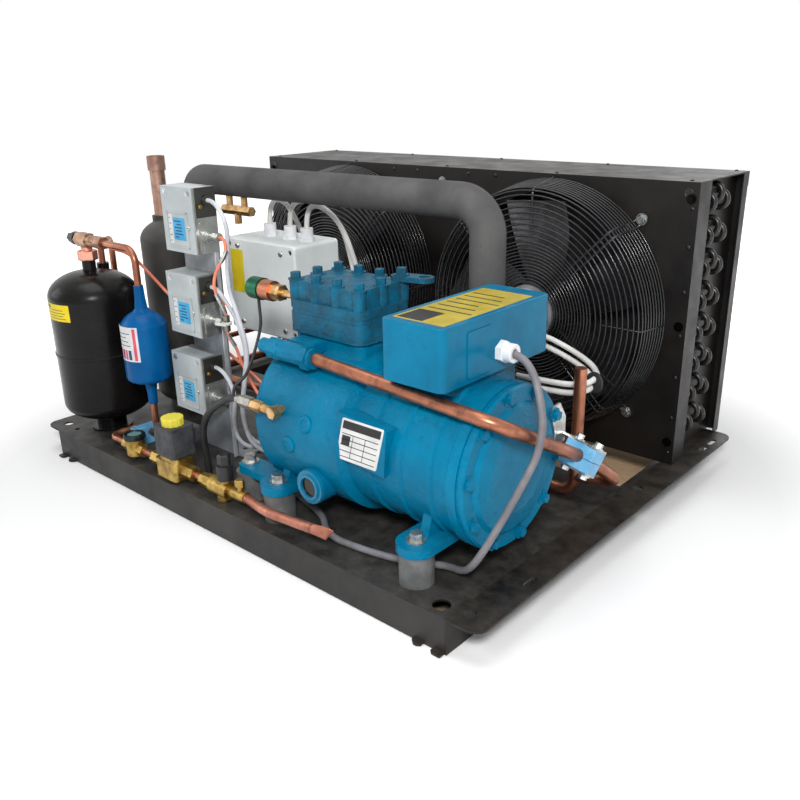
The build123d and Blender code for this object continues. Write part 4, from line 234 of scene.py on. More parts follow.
m = Mat("coil_plastic", 0.55, gloss=0.25).paint(rgb(50, 51, 54), rgb(72, 73, 76), 60)
m.stains(rgb(98, 98, 100), 130, 0.6, 0.75, 0.5, (1, 1, 0.2))
M["coil"] = m.rough_between(0.45, 0.65, 90).relief(1400, 0.00012).done()
m = Mat("drier_enamel", 0.36, gloss=0.12).paint(rgb(0, 78, 134), rgb(0, 92, 152), 18)
m.stains(rgb(0, 62, 112), 40, 0.55, 0.75, 0.6).rough_between(0.24, 0.38, 30)
M["drier"] = m.relief(320, 0.00008).done()
m = Mat("clamp_plastic", 0.4).paint(rgb(86, 156, 200), rgb(122, 184, 222), 40)
m.stains(rgb(70, 122, 156), 70, 0.58, 0.74, 0.6).rough_between(0.3, 0.5, 60)
M["clamp"] = m.relief(900, 0.00006).done()
m = Mat("ring_metal", 0.36, 0.7).paint(rgb(24, 34, 34), rgb(46, 62, 62), 80)
ring_zone = m.zone(x=(0.15, 0.24))
m.over(ring_zone, rgb(0, 112, 148))
m.links.new(m.math("MULTIPLY", m.math("SUBTRACT", 1.0, ring_zone), 0.7), m.shader.inputs["Metallic"])
M["ring"] = m.rough_between(0.26, 0.46, 90).done()
m = Mat("window", 0.12, gloss=0.4).paint(rgb(20, 17, 15), rgb(38, 34, 32), 160)
m.over(m.zone(x=(-0.26, -0.2)), rgb(104, 142, 142))
M["window"] = m.rough_between(0.06, 0.16, 60).done()
m = Mat("steel_inside", 0.4, 0.9).paint(rgb(110, 110, 112), rgb(146, 146, 148), 60)
M["steel"] = m.rough_between(0.3, 0.5, 80, (1, 0.1, 1)).done()
m = Mat("aluminium_inside", 0.4, 0.9).paint(rgb(160, 161, 164), rgb(190, 191, 194), 60)
M["aluminium"] = m.rough_between(0.3, 0.5, 80).done()


def teal(name, casting):
    m = Mat(name, 0.24, gloss=0.1).paint(rgb(0, 96, 130), rgb(0, 122, 160), 10, 6, 0.32, 0.68)
    m.stains(rgb(0, 86, 112), 60, 0.56, 0.76, 0.6).stains(rgb(16, 152, 190), 170, 0.7, 0.78, 0.35)
    if casting:
        # Darker grey-teal patches over a box zone round the cylinder head.
        head_darkening = m.math(
            "MULTIPLY", m.zone(x=(0.0, 0.3), y=(-0.4, -0.08), z=(0.325, 0.43)), m.span(
                m.noise(60, 8, 0.7), 0.34, 0.66, 0.2, 0.85
            )
        )
        m.over(head_darkening, rgb(38, 66, 76))
    m.dust(rgb(40, 92, 108), 0.3, 70)
    m.rough_between(0.12, 0.26, 26)
    if casting:
        m.relief(34, 0.0018, 5).relief(230, 0.001, 4)
    return m.relief(640, 0.0001).done()


M["teal"] = teal("teal_casting", True)
M["teal_sheet"] = teal("teal_sheet", False)
m = Mat("spacer_rubber", 0.6, gloss=0.3).paint(rgb(88, 89, 89), rgb(114, 115, 115), 40)
m.dust(rgb(110, 104, 96), 0.4).stains(rgb(100, 98, 96), 70, 0.58, 0.75, 0.5)
M["spacer"] = m.relief(600, 0.0002).done()
m = Mat("gland_nylon", 0.42).paint(rgb(222, 223, 226), rgb(242, 242, 244), 60)
M["gland"] = m.stains(rgb(196, 198, 202), 90, 0.58, 0.74, 0.5).relief(800, 0.00004).done()
m = Mat("foam_tube", 0.8, gloss=0.15).paint(rgb(76, 75, 75), rgb(98, 97, 97), 12, 7)
m.stains(rgb(118, 114, 110), 40, 0.62, 0.78, 0.4, (1, 1, 0.25))
m.stains(rgb(58, 57, 57), 90, 0.62, 0.76, 0.45)
M["foam"] = m.rough_between(0.68, 0.86).relief(1300, 0.0003).relief(40, 0.0007).done()
m = Mat("box_plastic", 0.42, gloss=0.4).paint(rgb(220, 226, 225), rgb(236, 241, 239), 12)
m.stains(rgb(164, 168, 172), 50, 0.62, 0.78, 0.4).rough_between(0.36, 0.5)
M["box"] = m.relief(1300, 0.00005).done()
m = Mat("cover_plastic", 0.36, gloss=0.4).paint(rgb(166, 174, 176), rgb(184, 191, 192), 18)
m.stains(rgb(150, 158, 162), 60, 0.62, 0.78, 0.4).rough_between(0.3, 0.42)
M["cover"] = m.relief(1100, 0.00004).done()
m = Mat("switch_metal", 0.34, 0.8).paint(rgb(150, 152, 148), rgb(184, 186, 182), 22)
m.stains(rgb(112, 110, 96), 40, 0.64, 0.8, 0.35)
m.over(m.zone(x=(-0.128, -0.09), y=(-0.28, -0.24), z=(0.4665, 0.52)), rgb(78, 78, 74))
for low, high in ((0.3285, 0.372), (0.1895, 0.233)):
    m.over(m.zone(x=(-0.15, -0.09), y=(-0.28, -0.24), z=(low, high)), rgb(78, 78, 74))
M["chassis"] = m.rough_between(0.26, 0.4, 60).done()


def rubber(name, dark, light, mark):
    m = Mat(name, 0.5, gloss=0.35).paint(dark, light, 30)
    return m.stains(mark, 90, 0.6, 0.76, 0.5).rough_between(0.42, 0.6, 60).relief(900, 0.00006).done()


M["cable_grey"] = rubber("cable_grey", rgb(104, 102, 106), rgb(128, 126, 130), rgb(88, 84, 84))
M["cable_white"] = rubber("cable_white", rgb(206, 205, 200), rgb(228, 227, 224), rgb(176, 172, 164))
M["cable_pale"] = rubber("cable_pale", rgb(186, 188, 194), rgb(212, 214, 218), rgb(160, 160, 166))
M["hose"] = rubber("hose_coral", rgb(222, 116, 88), rgb(244, 146, 118), rgb(196, 92, 70))
M["black_rubber"] = rubber("black_rubber", rgb(26, 26, 27), rgb(46, 46, 48), rgb(72, 72, 74))
# Lighter copy of the stand sheet: painted highlight along the stand's folded edge.
m = Mat("stand_edge_highlight", 0.4, 0.5).paint(rgb(178, 182, 186), rgb(208, 211, 214), 40)
M["edge"] = m.rough_between(0.3, 0.5).done()
M["tie_white"] = rubber("tie_white", rgb(208, 208, 204), rgb(232, 232, 228), rgb(176, 176, 170))
m = Mat("fittings", 0.34, 0.92).paint(rgb(158, 122, 76), rgb(214, 178, 128), 70, 7)
m.stains(rgb(110, 78, 48), 120, 0.58, 0.74, 0.6)
m.over(m.zone(x=(-0.013, 0.016), z=(0.34, 0.4)), rgb(36, 96, 70))
m.over(m.zone(x=(0.016, 0.0385), z=(0.34, 0.4)), rgb(176, 112, 84))
m.over(m.zone(x=(0.0, 0.0905), y=(-0.37, -0.33), z=(0.2, 0.25)), rgb(150, 148, 142))
m.over(m.zone(x=(-0.09, -0.06), y=(-0.27, -0.25), z=(0.28, 0.32)), rgb(120, 116, 108))
M["fittings"] = m.rough_between(0.24, 0.46, 120).relief(500, 0.00012).done()
M["yellow"] = rubber("label_yellow", rgb(226, 200, 22), rgb(240, 214, 36), rgb(196, 176, 44))
M["dull_yellow"] = rubber("label_ochre", rgb(164, 146, 46), rgb(186, 166, 62), rgb(150, 132, 62))
M["white"] = rubber("label_white", rgb(206, 206, 204), rgb(228, 228, 226), rgb(184, 184, 182))
M["ink"] = rubber("label_ink", rgb(22, 22, 24), rgb(40, 40, 42), rgb(60, 60, 62))
M["ink_soft"] = rubber("label_grey", rgb(112, 106, 50), rgb(134, 126, 58), rgb(96, 92, 48))
M["red"] = rubber("label_red", rgb(206, 66, 96), rgb(226, 92, 118), rgb(180, 52, 80))
M["blue"] = rubber("label_blue", rgb(44, 150, 200), rgb(76, 178, 220), rgb(30, 112, 160))
M["navy"] = rubber("label_navy", rgb(24, 54, 92), rgb(36, 72, 112), rgb(18, 40, 70))

LOOK = {
    "deck_tray": "deck", "side_rails": "skirt", "fan_shroud": "casing",
    "condenser_top_cover": "casing", "end_plates": "casing", "fin_pack": "fins",
    "return_bends": "bends", "fan_guards": "wire", "fan_motors": "motor",
    "fan_rotor_left": "blades", "fan_rotor_right": "blades", "small_bolts": "bolts",
    "receiver_shell": "vessel", "receiver_valve": "bronze", "valve_caps": "caps",
    "liquid_pipes": "copper", "filter_drier": "drier", "pipe_clamps": "clamp",
    "sight_glass_body": "brass", "glass_rings": "ring", "sight_windows": "window",
    "solenoid_body": "brass", "solenoid_coil": "coil", "solenoid_plunger": "steel",
    "service_valve": "brass", "liquid_stub": "copper_pink", "compressor_housing": "teal",
    "mount_spacers": "spacer", "mount_bolts": "zinc", "bearing_cover": "teal",
    "compressor_bolts": "teal", "motor_end_cover": "teal", "stator": "steel", "crankshaft": "steel",
    "pistons": "aluminium", "connecting_rods": "aluminium", "valve_plate": "teal",
    "cylinder_head": "teal", "lifting_eye": "teal", "terminal_box": "teal_sheet",
    "terminal_lid": "teal_sheet", "cable_glands": "gland", "discharge_valve": "teal",
    "hot_gas_line": "copper", "riser_pipe": "copper", "clamp_plates": "zinc",
    "suction_valve": "teal", "accumulator": "accumulator", "suction_stub": "copper_brown",
    "suction_pipe": "copper", "suction_insulation": "foam", "access_fittings": "fittings",
    "instrument_stands": "stand", "switch_chassis": "chassis", "switch_covers": "cover",
    "control_box": "box", "control_lid": "box", "motor_cable": "cable_grey",
    "fan_cables": "cable_white", "switch_lines": "cable_pale",
}
for name, look in LOOK.items():
    slots = nodes[name].data.materials
    slots.clear()
    slots.append(M[look])


# Routes of the cords, in millimetres

ROUTES_MM = {
    "motor_cord": [
        (430, -206, 336), (448, -206, 336), (476.9, -220.1, 323.4), (494, -230.4, 296.3),
        (502.6, -234.5, 264.5), (503.8, -244.7, 231.9), (497.8, -260.4, 202.8), (489.8, -275.7, 173.5),
        (481.8, -293.1, 143.9), (472.2, -307.2, 115.1), (455.9, -311, 84.8), (433.5, -302, 63.3),
        (401.9, -295.1, 56.7), (371.7, -310.1, 56.2), (340, -324.7, 56.5), (306.1, -333.1, 56.5),
        (272.4, -337.8, 56.5), (238.1, -340.4, 56.5), (207.3, -331.7, 56.5), (181.2, -309.3, 56.5),
        (150.1, -296.6, 56.5), (115.9, -288.4, 56.5), (83.1, -278.9, 56.5), (50.8, -269.1, 56.5),
        (17.6, -254.5, 56.5), (-6.8, -233.1, 56.4), (-20.2, -203.4, 57.1), (-18.1, -168.8, 59.1),
        (-30.8, -141.1, 73.6), (-49.3, -119.4, 93.9), (-66.9, -100.9, 115.7), (-84.4, -85, 138.8),
        (-99.4, -71.8, 167.7), (-97, -74, 200), (-97, -74, 227.7),
    ],
    "fan_cord_1": [
        (254, 118.2, 281), (254, 94, 281), (280, 82, 270), (301.6, 98.3, 261.5), (331.4, 100.8, 251.6),
        (358.3, 95.9, 244.8), (385.6, 80.8, 241.5), (407.8, 63.2, 239.1), (427, 38.6, 236.4),
        (424.4, 11.9, 231.3), (395.6, 7.1, 225.6), (366.6, 8.2, 223), (334.7, 8.8, 221.3),
        (304.1, 9, 220.1), (272.8, 8.7, 219.2), (242.5, 8.1, 218.5), (216.2, 7.5, 218.1), (185, 7, 218),
        (154.3, 6.9, 217.7), (122.7, 6.8, 216.9), (92.1, 6.9, 217.4), (64.2, 7, 221), (35.9, 7.2, 230.2),
        (10.6, 7.7, 243.3), (-13, 8, 262.2), (-30.2, 8.1, 287.9), (-37.5, 8.3, 315.5), (-43.2, 6.4, 346.8),
        (-48.6, 1.7, 373.1), (-53.1, -6.2, 402.2), (-60.4, -17.1, 430.7), (-71.5, -31.1, 452.1),
        (-91, -47.1, 465.5), (-106, -52, 444), (-106, -52, 414),
    ],
    "fan_cord_2": [
        (246, 118.2, 271.5), (246, 92, 271.5), (268.1, 80, 255.1), (290.5, 96.6, 248.4),
        (319.7, 100.4, 239.2), (348.2, 97.4, 231.6), (374.8, 84.9, 228), (399.2, 67.4, 225.6),
        (419.1, 45.7, 223.3), (423.9, 18.6, 218.9), (400.4, 6.2, 212.9), (371, 8.1, 209.6),
        (342, 8.6, 207.8), (310, 9, 206.4), (280.5, 8.8, 205.5), (251.1, 8.2, 204.6), (219.7, 7.6, 204),
        (188.2, 7.1, 203.9), (162.6, 7, 204.1), (131.1, 7.1, 203.6), (99.6, 7.4, 204), (69.8, 7.8, 207),
        (42.6, 8.2, 214.1), (16.4, 8.6, 224.5), (-11.3, 9.1, 240.3), (-33.5, 9.9, 259.1),
        (-48.6, 11.4, 285.5), (-54.9, 13.1, 312.5), (-60.3, 14.1, 343), (-67.2, 13.3, 370.3),
        (-74, 11, 399.5), (-83.1, 5.2, 426.3), (-97.8, -8.2, 448.9), (-115.7, -25.5, 464.3),
        (-137.4, -45.8, 467), (-150, -52, 444), (-150, -52, 414),
    ],
    "fan_cord_3": [
        (-230, 118.2, 276), (-230, 100, 276), (-222.2, 79.2, 297.8), (-216.8, 61.3, 324.6),
        (-214.2, 49.7, 349.3), (-211.6, 36, 379.9), (-209.5, 22.7, 405.8), (-207.7, 8.1, 430.3),
        (-206.1, -10.5, 454.6), (-205.1, -36.6, 465.2), (-205, -52, 444), (-205, -52, 414),
    ],
    "switch_cord_1": [
        (-99.8, -259.5, 492.5), (-85.8, -259.5, 492.5), (-68.5, -256.8, 473.4), (-61, -256, 448.1),
        (-65, -256, 422.5), (-70.1, -255.9, 398.4), (-71.4, -256.3, 371.6), (-66.4, -257.5, 346.6),
        (-52, -260, 325), (-40.1, -262.3, 302.9), (-30.6, -263.2, 279.7), (-29.5, -262.8, 253.8),
        (-37.9, -261.1, 229.2), (-47.8, -258.6, 204.3), (-57.2, -255.8, 182.4), (-67.5, -252.2, 157.5),
        (-72.7, -248.8, 133.7), (-71.7, -245.9, 107.8), (-66.9, -239.4, 83.8), (-55.2, -224.2, 66.5),
        (-43.3, -202.9, 61.7), (-41, -176.2, 61), (-46.4, -154, 69.7), (-57.4, -135.4, 86),
        (-69.7, -119.3, 103.5), (-82.8, -104.9, 120.5), (-96.7, -92.8, 136.3), (-111.5, -81.1, 154.1),
        (-122.2, -72.9, 175.7), (-123, -74, 200), (-123, -74, 227.7),
    ],
    "switch_cord_2": [
        (-111.8, -259.5, 354.5), (-97.8, -259.5, 354.5), (-81.9, -255.1, 332.6), (-70.2, -249.4, 309.9),
        (-60.7, -247.9, 284.6), (-52, -248, 260), (-55.8, -246.8, 233.1), (-64.5, -245.1, 209),
        (-73.5, -243.2, 184.3), (-82.8, -241, 158.2), (-89.7, -238, 134), (-90.6, -234.7, 107.8),
        (-84.6, -227.3, 83), (-70.9, -210.1, 69.8), (-59.6, -185.5, 69), (-61.4, -161.7, 77),
        (-72.2, -140.1, 93.1), (-84.1, -123.3, 108.6), (-97.6, -108.6, 123.6), (-115.4, -95.3, 138.6),
        (-135.3, -82.9, 155.3), (-147.9, -74.6, 175.1), (-149, -74, 200), (-149, -74, 227.7),
    ],
    "switch_cord_3": [
        (-122.8, -259.5, 215.5), (-108.8, -259.5, 215.5), (-87.2, -260.2, 200.3), (-77.8, -258.5, 176.9),
        (-84.7, -255.8, 153.2), (-96.1, -251.4, 129.6), (-101.2, -248.5, 105.3), (-98.7, -241.9, 80.3),
        (-90.3, -224.4, 65.2), (-82.9, -199.3, 62.3), (-81.3, -174, 67.1), (-87.3, -152, 80.2),
        (-96.8, -135.2, 97.2), (-107.5, -121.1, 113.6), (-121.9, -106.9, 129.5), (-141, -93.8, 143.2),
        (-159.8, -82.9, 156.1), (-173.3, -74.6, 174.8), (-175, -74, 200), (-175, -74, 227.7),
    ],
    "hose_upper": [
        (-76.8, -259.5, 437.5), (-66, -259.5, 437.5), (-59, -263.5, 418.7), (-68, -269.1, 400.4),
        (-78.6, -273.8, 382.8), (-84.4, -274.9, 362.5), (-82.6, -270.7, 341.8), (-80, -259.5, 325.5),
        (-80, -259.5, 312.7),
    ],
    "hose_middle": [
        (-80, -259.5, 286.3), (-80, -259.5, 275.5), (-77.4, -247.9, 257.6), (-80, -240.8, 238.6),
        (-79.1, -234.7, 218.9), (-73.2, -229.7, 198.4), (-62.7, -227.1, 180.8), (-48.6, -225.4, 164.1),
        (-31.7, -224.5, 152.1), (-13.9, -224.5, 144.4), (6.7, -224.5, 138.7), (26.8, -224.5, 140),
        (42.8, -224.5, 140),
    ],
    "hose_rear": [
        (-352, -297, 399), (-334, -294, 396), (-312.4, -287.8, 393.3), (-303.4, -274.4, 379.6),
        (-304.8, -261.4, 364.3), (-306.1, -247.3, 346.7), (-304.8, -234.6, 329.6), (-298.4, -223.6, 311.4),
        (-284.6, -216.9, 295.1), (-269.4, -212.5, 281.2), (-251.4, -209.2, 267.5), (-233.9, -207.1, 256.6),
        (-213.1, -206, 245.9), (-194.5, -205.6, 237.4), (-172.8, -205.3, 227.8), (-154.2, -204.9, 219.4),
        (-135.8, -204.6, 211.4), (-114.5, -204.4, 202.5), (-95, -203.8, 193.6), (-75.3, -202.5, 182.7),
        (-58, -201.2, 173.3), (-37.3, -199.8, 165.2), (-15.4, -198.7, 161.4), (7.1, -197.5, 159.7),
        (26.8, -196.5, 158), (42.8, -196.5, 158),
    ],
    "oil_sheath": [
        (54.8, -352, 228), (41, -352, 228), (16.2, -351.7, 214.7), (-6.2, -349.6, 200.9), (-28, -346, 185),
        (-46.6, -342.5, 165.9), (-62.2, -338.2, 143.5), (-72.1, -331.9, 118.3), (-75.7, -327.2, 92.8),
        (-76, -326, 66), (-76, -326, 51.2),
    ],
    "sensor_wires": [
        (0, -254.5, 350.8), (0, -254.5, 338), (6.5, -258.3, 317), (16.1, -271.3, 301.8),
        (26.9, -287.2, 289.1), (38.6, -303.7, 278.7), (49.2, -320.2, 268.5), (55.7, -336.2, 256.7),
        (47, -352, 246), (47, -352, 233.7),
    ],
}


# Camera, light and stage


def place_camera():
    az, el, roll = (math.radians(a) for a in (41.921, 20.714, -1.149))
    forward = Vector((-math.sin(az) * math.cos(el), math.cos(az) * math.cos(el), -math.sin(el)))
    right = forward.cross(Vector((0, 0, 1))).normalized()
    up = right.cross(forward)
    r = math.cos(roll) * right + math.sin(roll) * up
    u = -math.sin(roll) * right + math.cos(roll) * up
    camera = bpy.data.objects.new("camera", bpy.data.cameras.new("camera"))
    camera.data.lens = 37.67
    camera.data.sensor_width = 36
    camera.data.sensor_fit = "HORIZONTAL"
    rows = [(r[i], u[i], -forward[i], (1.0005, -1.0485, 0.6561)[i]) for i in range(3)]
    camera.matrix_world = Matrix((*rows, (0, 0, 0, 1)))
    bpy.context.collection.objects.link(camera)
    bpy.context.scene.camera = camera


def area_light(name, place, target, size, power):
    lamp = bpy.data.lights.new(name, "AREA")
    lamp.shape = "RECTANGLE"
    lamp.size, lamp.size_y = size
    lamp.energy = power
    obj = bpy.data.objects.new(name, lamp)
    obj.location = place
    obj.rotation_euler = (Vector(target) - Vector(place)).to_track_quat("-Z", "Y").to_euler()
    bpy.context.collection.objects.link(obj)


def backdrop_factor(tree, links):
    path = tree.new("ShaderNodeLightPath")
    total = path.outputs["Is Camera Ray"]
    for name in ("Is Glossy Ray", "Is Transmission Ray"):
        node = tree.new("ShaderNodeMath")
        node.operation = "MAXIMUM"
        links.new(total, node.inputs[0])
        links.new(path.outputs[name], node.inputs[1])
        total = node.outputs["Value"]
    return total


def light_scene():
    world = bpy.data.worlds.new("studio")
    bpy.context.scene.world = world
    world.use_nodes = True
    tree = world.node_tree.nodes
    links = world.node_tree.links
    tree.clear()
    seen = tree.new("ShaderNodeBackground")
    seen.inputs["Color"].default_value = (1, 1, 1, 1)
    seen.inputs["Strength"].default_value = 1.0
    fill = tree.new("ShaderNodeBackground")
    fill.inputs["Color"].default_value = (0.97, 0.98, 1, 1)
    fill.inputs["Strength"].default_value = 0.34
    mix = tree.new("ShaderNodeMixShader")
    links.new(backdrop_factor(tree, links), mix.inputs["Fac"])
    links.new(fill.outputs["Background"], mix.inputs[1])
    links.new(seen.outputs["Background"], mix.inputs[2])
    out = tree.new("ShaderNodeOutputWorld")
    links.new(mix.outputs["Shader"], out.inputs["Surface"])
    area_light("key", (1.25, -1.35, 1.25), (0.05, -0.1, 0.2), (0.35, 0.28), 27)
    area_light("top", (-0.1, -0.4, 2.3), (0, 0, 0.2), (1.6, 1.2), 19)
    area_light("side", (-1.9, -1.4, 1.0), (0, 0, 0.2), (1.0, 1.0), 6)
    area_light("back", (0.4, 2.2, 1.4), (0, 0.2, 0.25), (1.6, 1.0), 12)


def mesh_object(name, verts, faces, mat, smooth=False):
    mesh = bpy.data.meshes.new(name)
    mesh.from_pydata([tuple(v) for v in verts], [], faces)
    mesh.update()
    if smooth:
        for poly in mesh.polygons:
            poly.use_smooth = True
    obj = bpy.data.objects.new(name, mesh)
    obj.data.materials.append(mat)
    bpy.context.collection.objects.link(obj)
    return obj


def add_stage():
    mat = bpy.data.materials.new("pale_floor")
    mat.use_nodes = True
    tree = mat.node_tree.nodes
    links = mat.node_tree.links
    shader = tree["Principled BSDF"]
    shader.inputs["Base Color"].default_value = (0.94, 0.94, 0.94, 1)
    shader.inputs["Roughness"].default_value = 0.9
    shader.inputs["Specular IOR Level"].default_value = 0.1
    glow = tree.new("ShaderNodeEmission")
    glow.inputs["Color"].default_value = (1, 1, 1, 1)
    place = tree.new("ShaderNodeTexCoord")
    far = tree.new("ShaderNodeVectorMath")
    far.operation = "LENGTH"
    links.new(place.outputs["Object"], far.inputs[0])
    ramp = tree.new("ShaderNodeMapRange")
    for key, number in (("From Min", 0.7), ("From Max", 1.4), ("To Min", 0.04), ("To Max", 1.0)):
        ramp.inputs[key].default_value = number
    links.new(far.outputs["Value"], ramp.inputs["Value"])
    links.new(ramp.outputs["Result"], glow.inputs["Strength"])
    add = tree.new("ShaderNodeAddShader")
    mix = tree.new("ShaderNodeMixShader")
    links.new(shader.outputs["BSDF"], add.inputs[0])
    links.new(glow.outputs["Emission"], add.inputs[1])
    links.new(backdrop_factor(tree, links), mix.inputs["Fac"])
    links.new(shader.outputs["BSDF"], mix.inputs[1])
    links.new(add.outputs["Shader"], mix.inputs[2])
    links.new(mix.outputs["Shader"], tree["Material Output"].inputs["Surface"])
    s = FLOOR_HALF
    floor = mesh_object(
        "floor", [(-s, -s, FLOOR_Z), (s, -s, FLOOR_Z), (s, s, FLOOR_Z), (-s, s, FLOOR_Z)], [(0, 1, 2, 3)],
        mat
    )
    card = Mat("card_surface", 0.8).paint(rgb(186, 156, 122), rgb(212, 178, 140), 6)
    card.stains(rgb(150, 124, 98), 40, 0.5, 0.75, 0.5, (1, 6, 1))
    corners = [(-0.466, -0.38), (0.466, -0.38), (0.466, 0.38), (-0.466, 0.38)]
    sheet = mesh_object("card_sheet", [(x, y, 0.0) for x, y in corners], [(0, 1, 2, 3)], card.done())


place_camera()
light_scene()
add_stage()
bpy.context.scene.view_settings.view_transform = "Standard"


# Curves, tubes and patches


def curve_object(name, paths, radius, mat, closed=False, kind="POLY", resolution=4):
    """One curve object; paths are lists of points in millimetres."""
    data = bpy.data.curves.new(name, "CURVE")
    data.dimensions = "3D"
    data.bevel_depth = radius * MM
    data.bevel_resolution = resolution
    data.use_fill_caps = True
    data.resolution_u = 8
    for path in paths:
        spline = data.splines.new(kind)
        spline.points.add(len(path) - 1)
        for point, (x, y, z) in zip(spline.points, path):
            point.co = (x * MM, y * MM, z * MM, 1)
        if kind == "NURBS":
            spline.order_u = 3
            spline.use_endpoint_u = not closed
        spline.use_cyclic_u = closed
    data.materials.append(mat)
    obj = bpy.data.objects.new(name, data)
    bpy.context.collection.objects.link(obj)
    return obj


def on_unit(obj):
    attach(obj, "unit")
    return obj


def add_cords():
    looks = {"motor_cord": (5, "cable_grey", "cable_grey")}
    for i in (1, 2, 3):
        looks["fan_cord_%d" % i] = (4.5, "cable_white", "cable_white")
        looks["switch_cord_%d" % i] = (3.5, "cable_pale", "cable_white")
    for name in ("hose_upper", "hose_middle", "hose_rear"):
        looks[name] = (2.6, "hose", "cable_white")
    looks["oil_sheath"] = (5.5, "black_rubber", "cable_grey")
    looks["sensor_wires"] = (2.4, "black_rubber", "cable_grey")
    for name, route in ROUTES_MM.items():
        radius, look, slot = looks[name]
        piece = on_unit(curve_object(name, [route], radius, M[look], kind="NURBS", resolution=5))
        if name.startswith("motor"):
            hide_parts("motor_cable")
        elif name.startswith("fan"):
            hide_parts("fan_cables")
        else:
            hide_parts("switch_lines")


add_cords()


def ring_path(cx, cz, r, y, count=72):
    turns = (2 * math.pi * i / count for i in range(count))
    return [(cx + r * math.cos(t), y, cz + r * math.sin(t)) for t in turns]


def guard_basket(name, cx):
    """Wire basket in front of one fan: flat rings, a rounded edge and side rings."""
    cz = 288
    rings = []
    for r, y in GUARD_RINGS:
        rings.append(ring_path(cx, cz, r, y))
    wires = on_unit(
        curve_object(name + "_rings", rings, 1.35, M["wire"], closed=True, resolution=2)
    )
    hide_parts("fan_guards")
    arms = []
    corner = [(197, 129.9), (203.5, 132.4), (206.5, 137.5), (214.5, 184), (217, 191.8)]
    for deg in (45, 135, 225, 315):
        t = math.radians(deg)
        c, s = math.cos(t), math.sin(t)
        for off in (-5.5, 5.5):
            profile = [(46, 129.9), (120, 129.9), *corner, (233, 193.2)]
            arms.append([(cx + r * c - off * s, y, cz + r * s + off * c) for r, y in profile])
    for deg in (0, 90, 180, 270):
        t = math.radians(deg)
        c, s = math.cos(t), math.sin(t)
        arms.append([(cx + r * c, y, cz + r * s) for r, y in [(138, 129.9), *corner]])
    spokes = on_unit(curve_object(name + "_spokes", arms, 1.9, M["wire"], resolution=3))
    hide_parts("fan_guards")


GUARD_RINGS = [(52 + 5.6 * i, 127.3) for i in range(13)]
GUARD_RINGS += [(128.7 + 9.5 * i, 127.3) for i in range(8)]
GUARD_RINGS += [(202.2, 129.6), (206.2, 134.6)]
GUARD_RINGS += [(207.2 + 1.15 * i, 142.6 + 7.0 * i) for i in range(8)]
guard_basket("guard_left", -240)
guard_basket("guard_right", 240)


def guard_feet():
    """Flat lugs that hold each basket to the shroud."""
    verts, faces = [], []
    for cx in (-240, 240):
        for deg in (45, 135, 225, 315):
            t = math.radians(deg)
            c, s = math.cos(t), math.sin(t)
            start = len(verts)
            outline = [(-12, -6), (-9, -7), (9, -7), (12, -4), (13, 0), (12, 4), (9, 7), (-9, 7), (-12, 6)]
            for y in (193.4, 195.4):
                for a, b in outline:
                    r = 229 + a
                    verts.append(((cx + r * c - b * s) * MM, y * MM, (288 + r * s + b * c) * MM))
            n = len(outline)
            faces.append(tuple(range(start, start + n)))
            faces.append(tuple(range(start + 2 * n - 1, start + n - 1, -1)))
            for i in range(n):
                j = (i + 1) % n
                faces.append((start + i, start + n + i, start + n + j, start + j))
    return verts, faces


feet = on_unit(mesh_object("guard_feet", *guard_feet(), M["wire"]))
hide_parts("fan_guards")


def fin_stack():
    verts, faces = [], []
    pitch, count = 2.54, 367
    for i in range(count):
        x = (i - (count - 1) / 2) * pitch
        start = len(verts)
        wave = 0.12 * math.sin(i * 1.7) + 0.1 * math.sin(i * 0.31)
        steps = 7
        for k in range(steps):
            y = 244.4 + (386.2 - 244.4) * k / (steps - 1)
            dx = 0.28 if k % 2 else -0.28
            for z in (52, 509):
                verts.append(((x + dx + wave) * MM, y * MM, z * MM))
        for k in range(steps - 1):
            a = start + 2 * k
            faces.append((a, a + 2, a + 3, a + 1))
    return verts, faces


fins = on_unit(mesh_object("fin_stack", *fin_stack(), M["fins"]))
thick = fins.modifiers.new("sheet", "SOLIDIFY")
thick.thickness = 0.00022
thick.offset = 0
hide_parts("fin_pack")


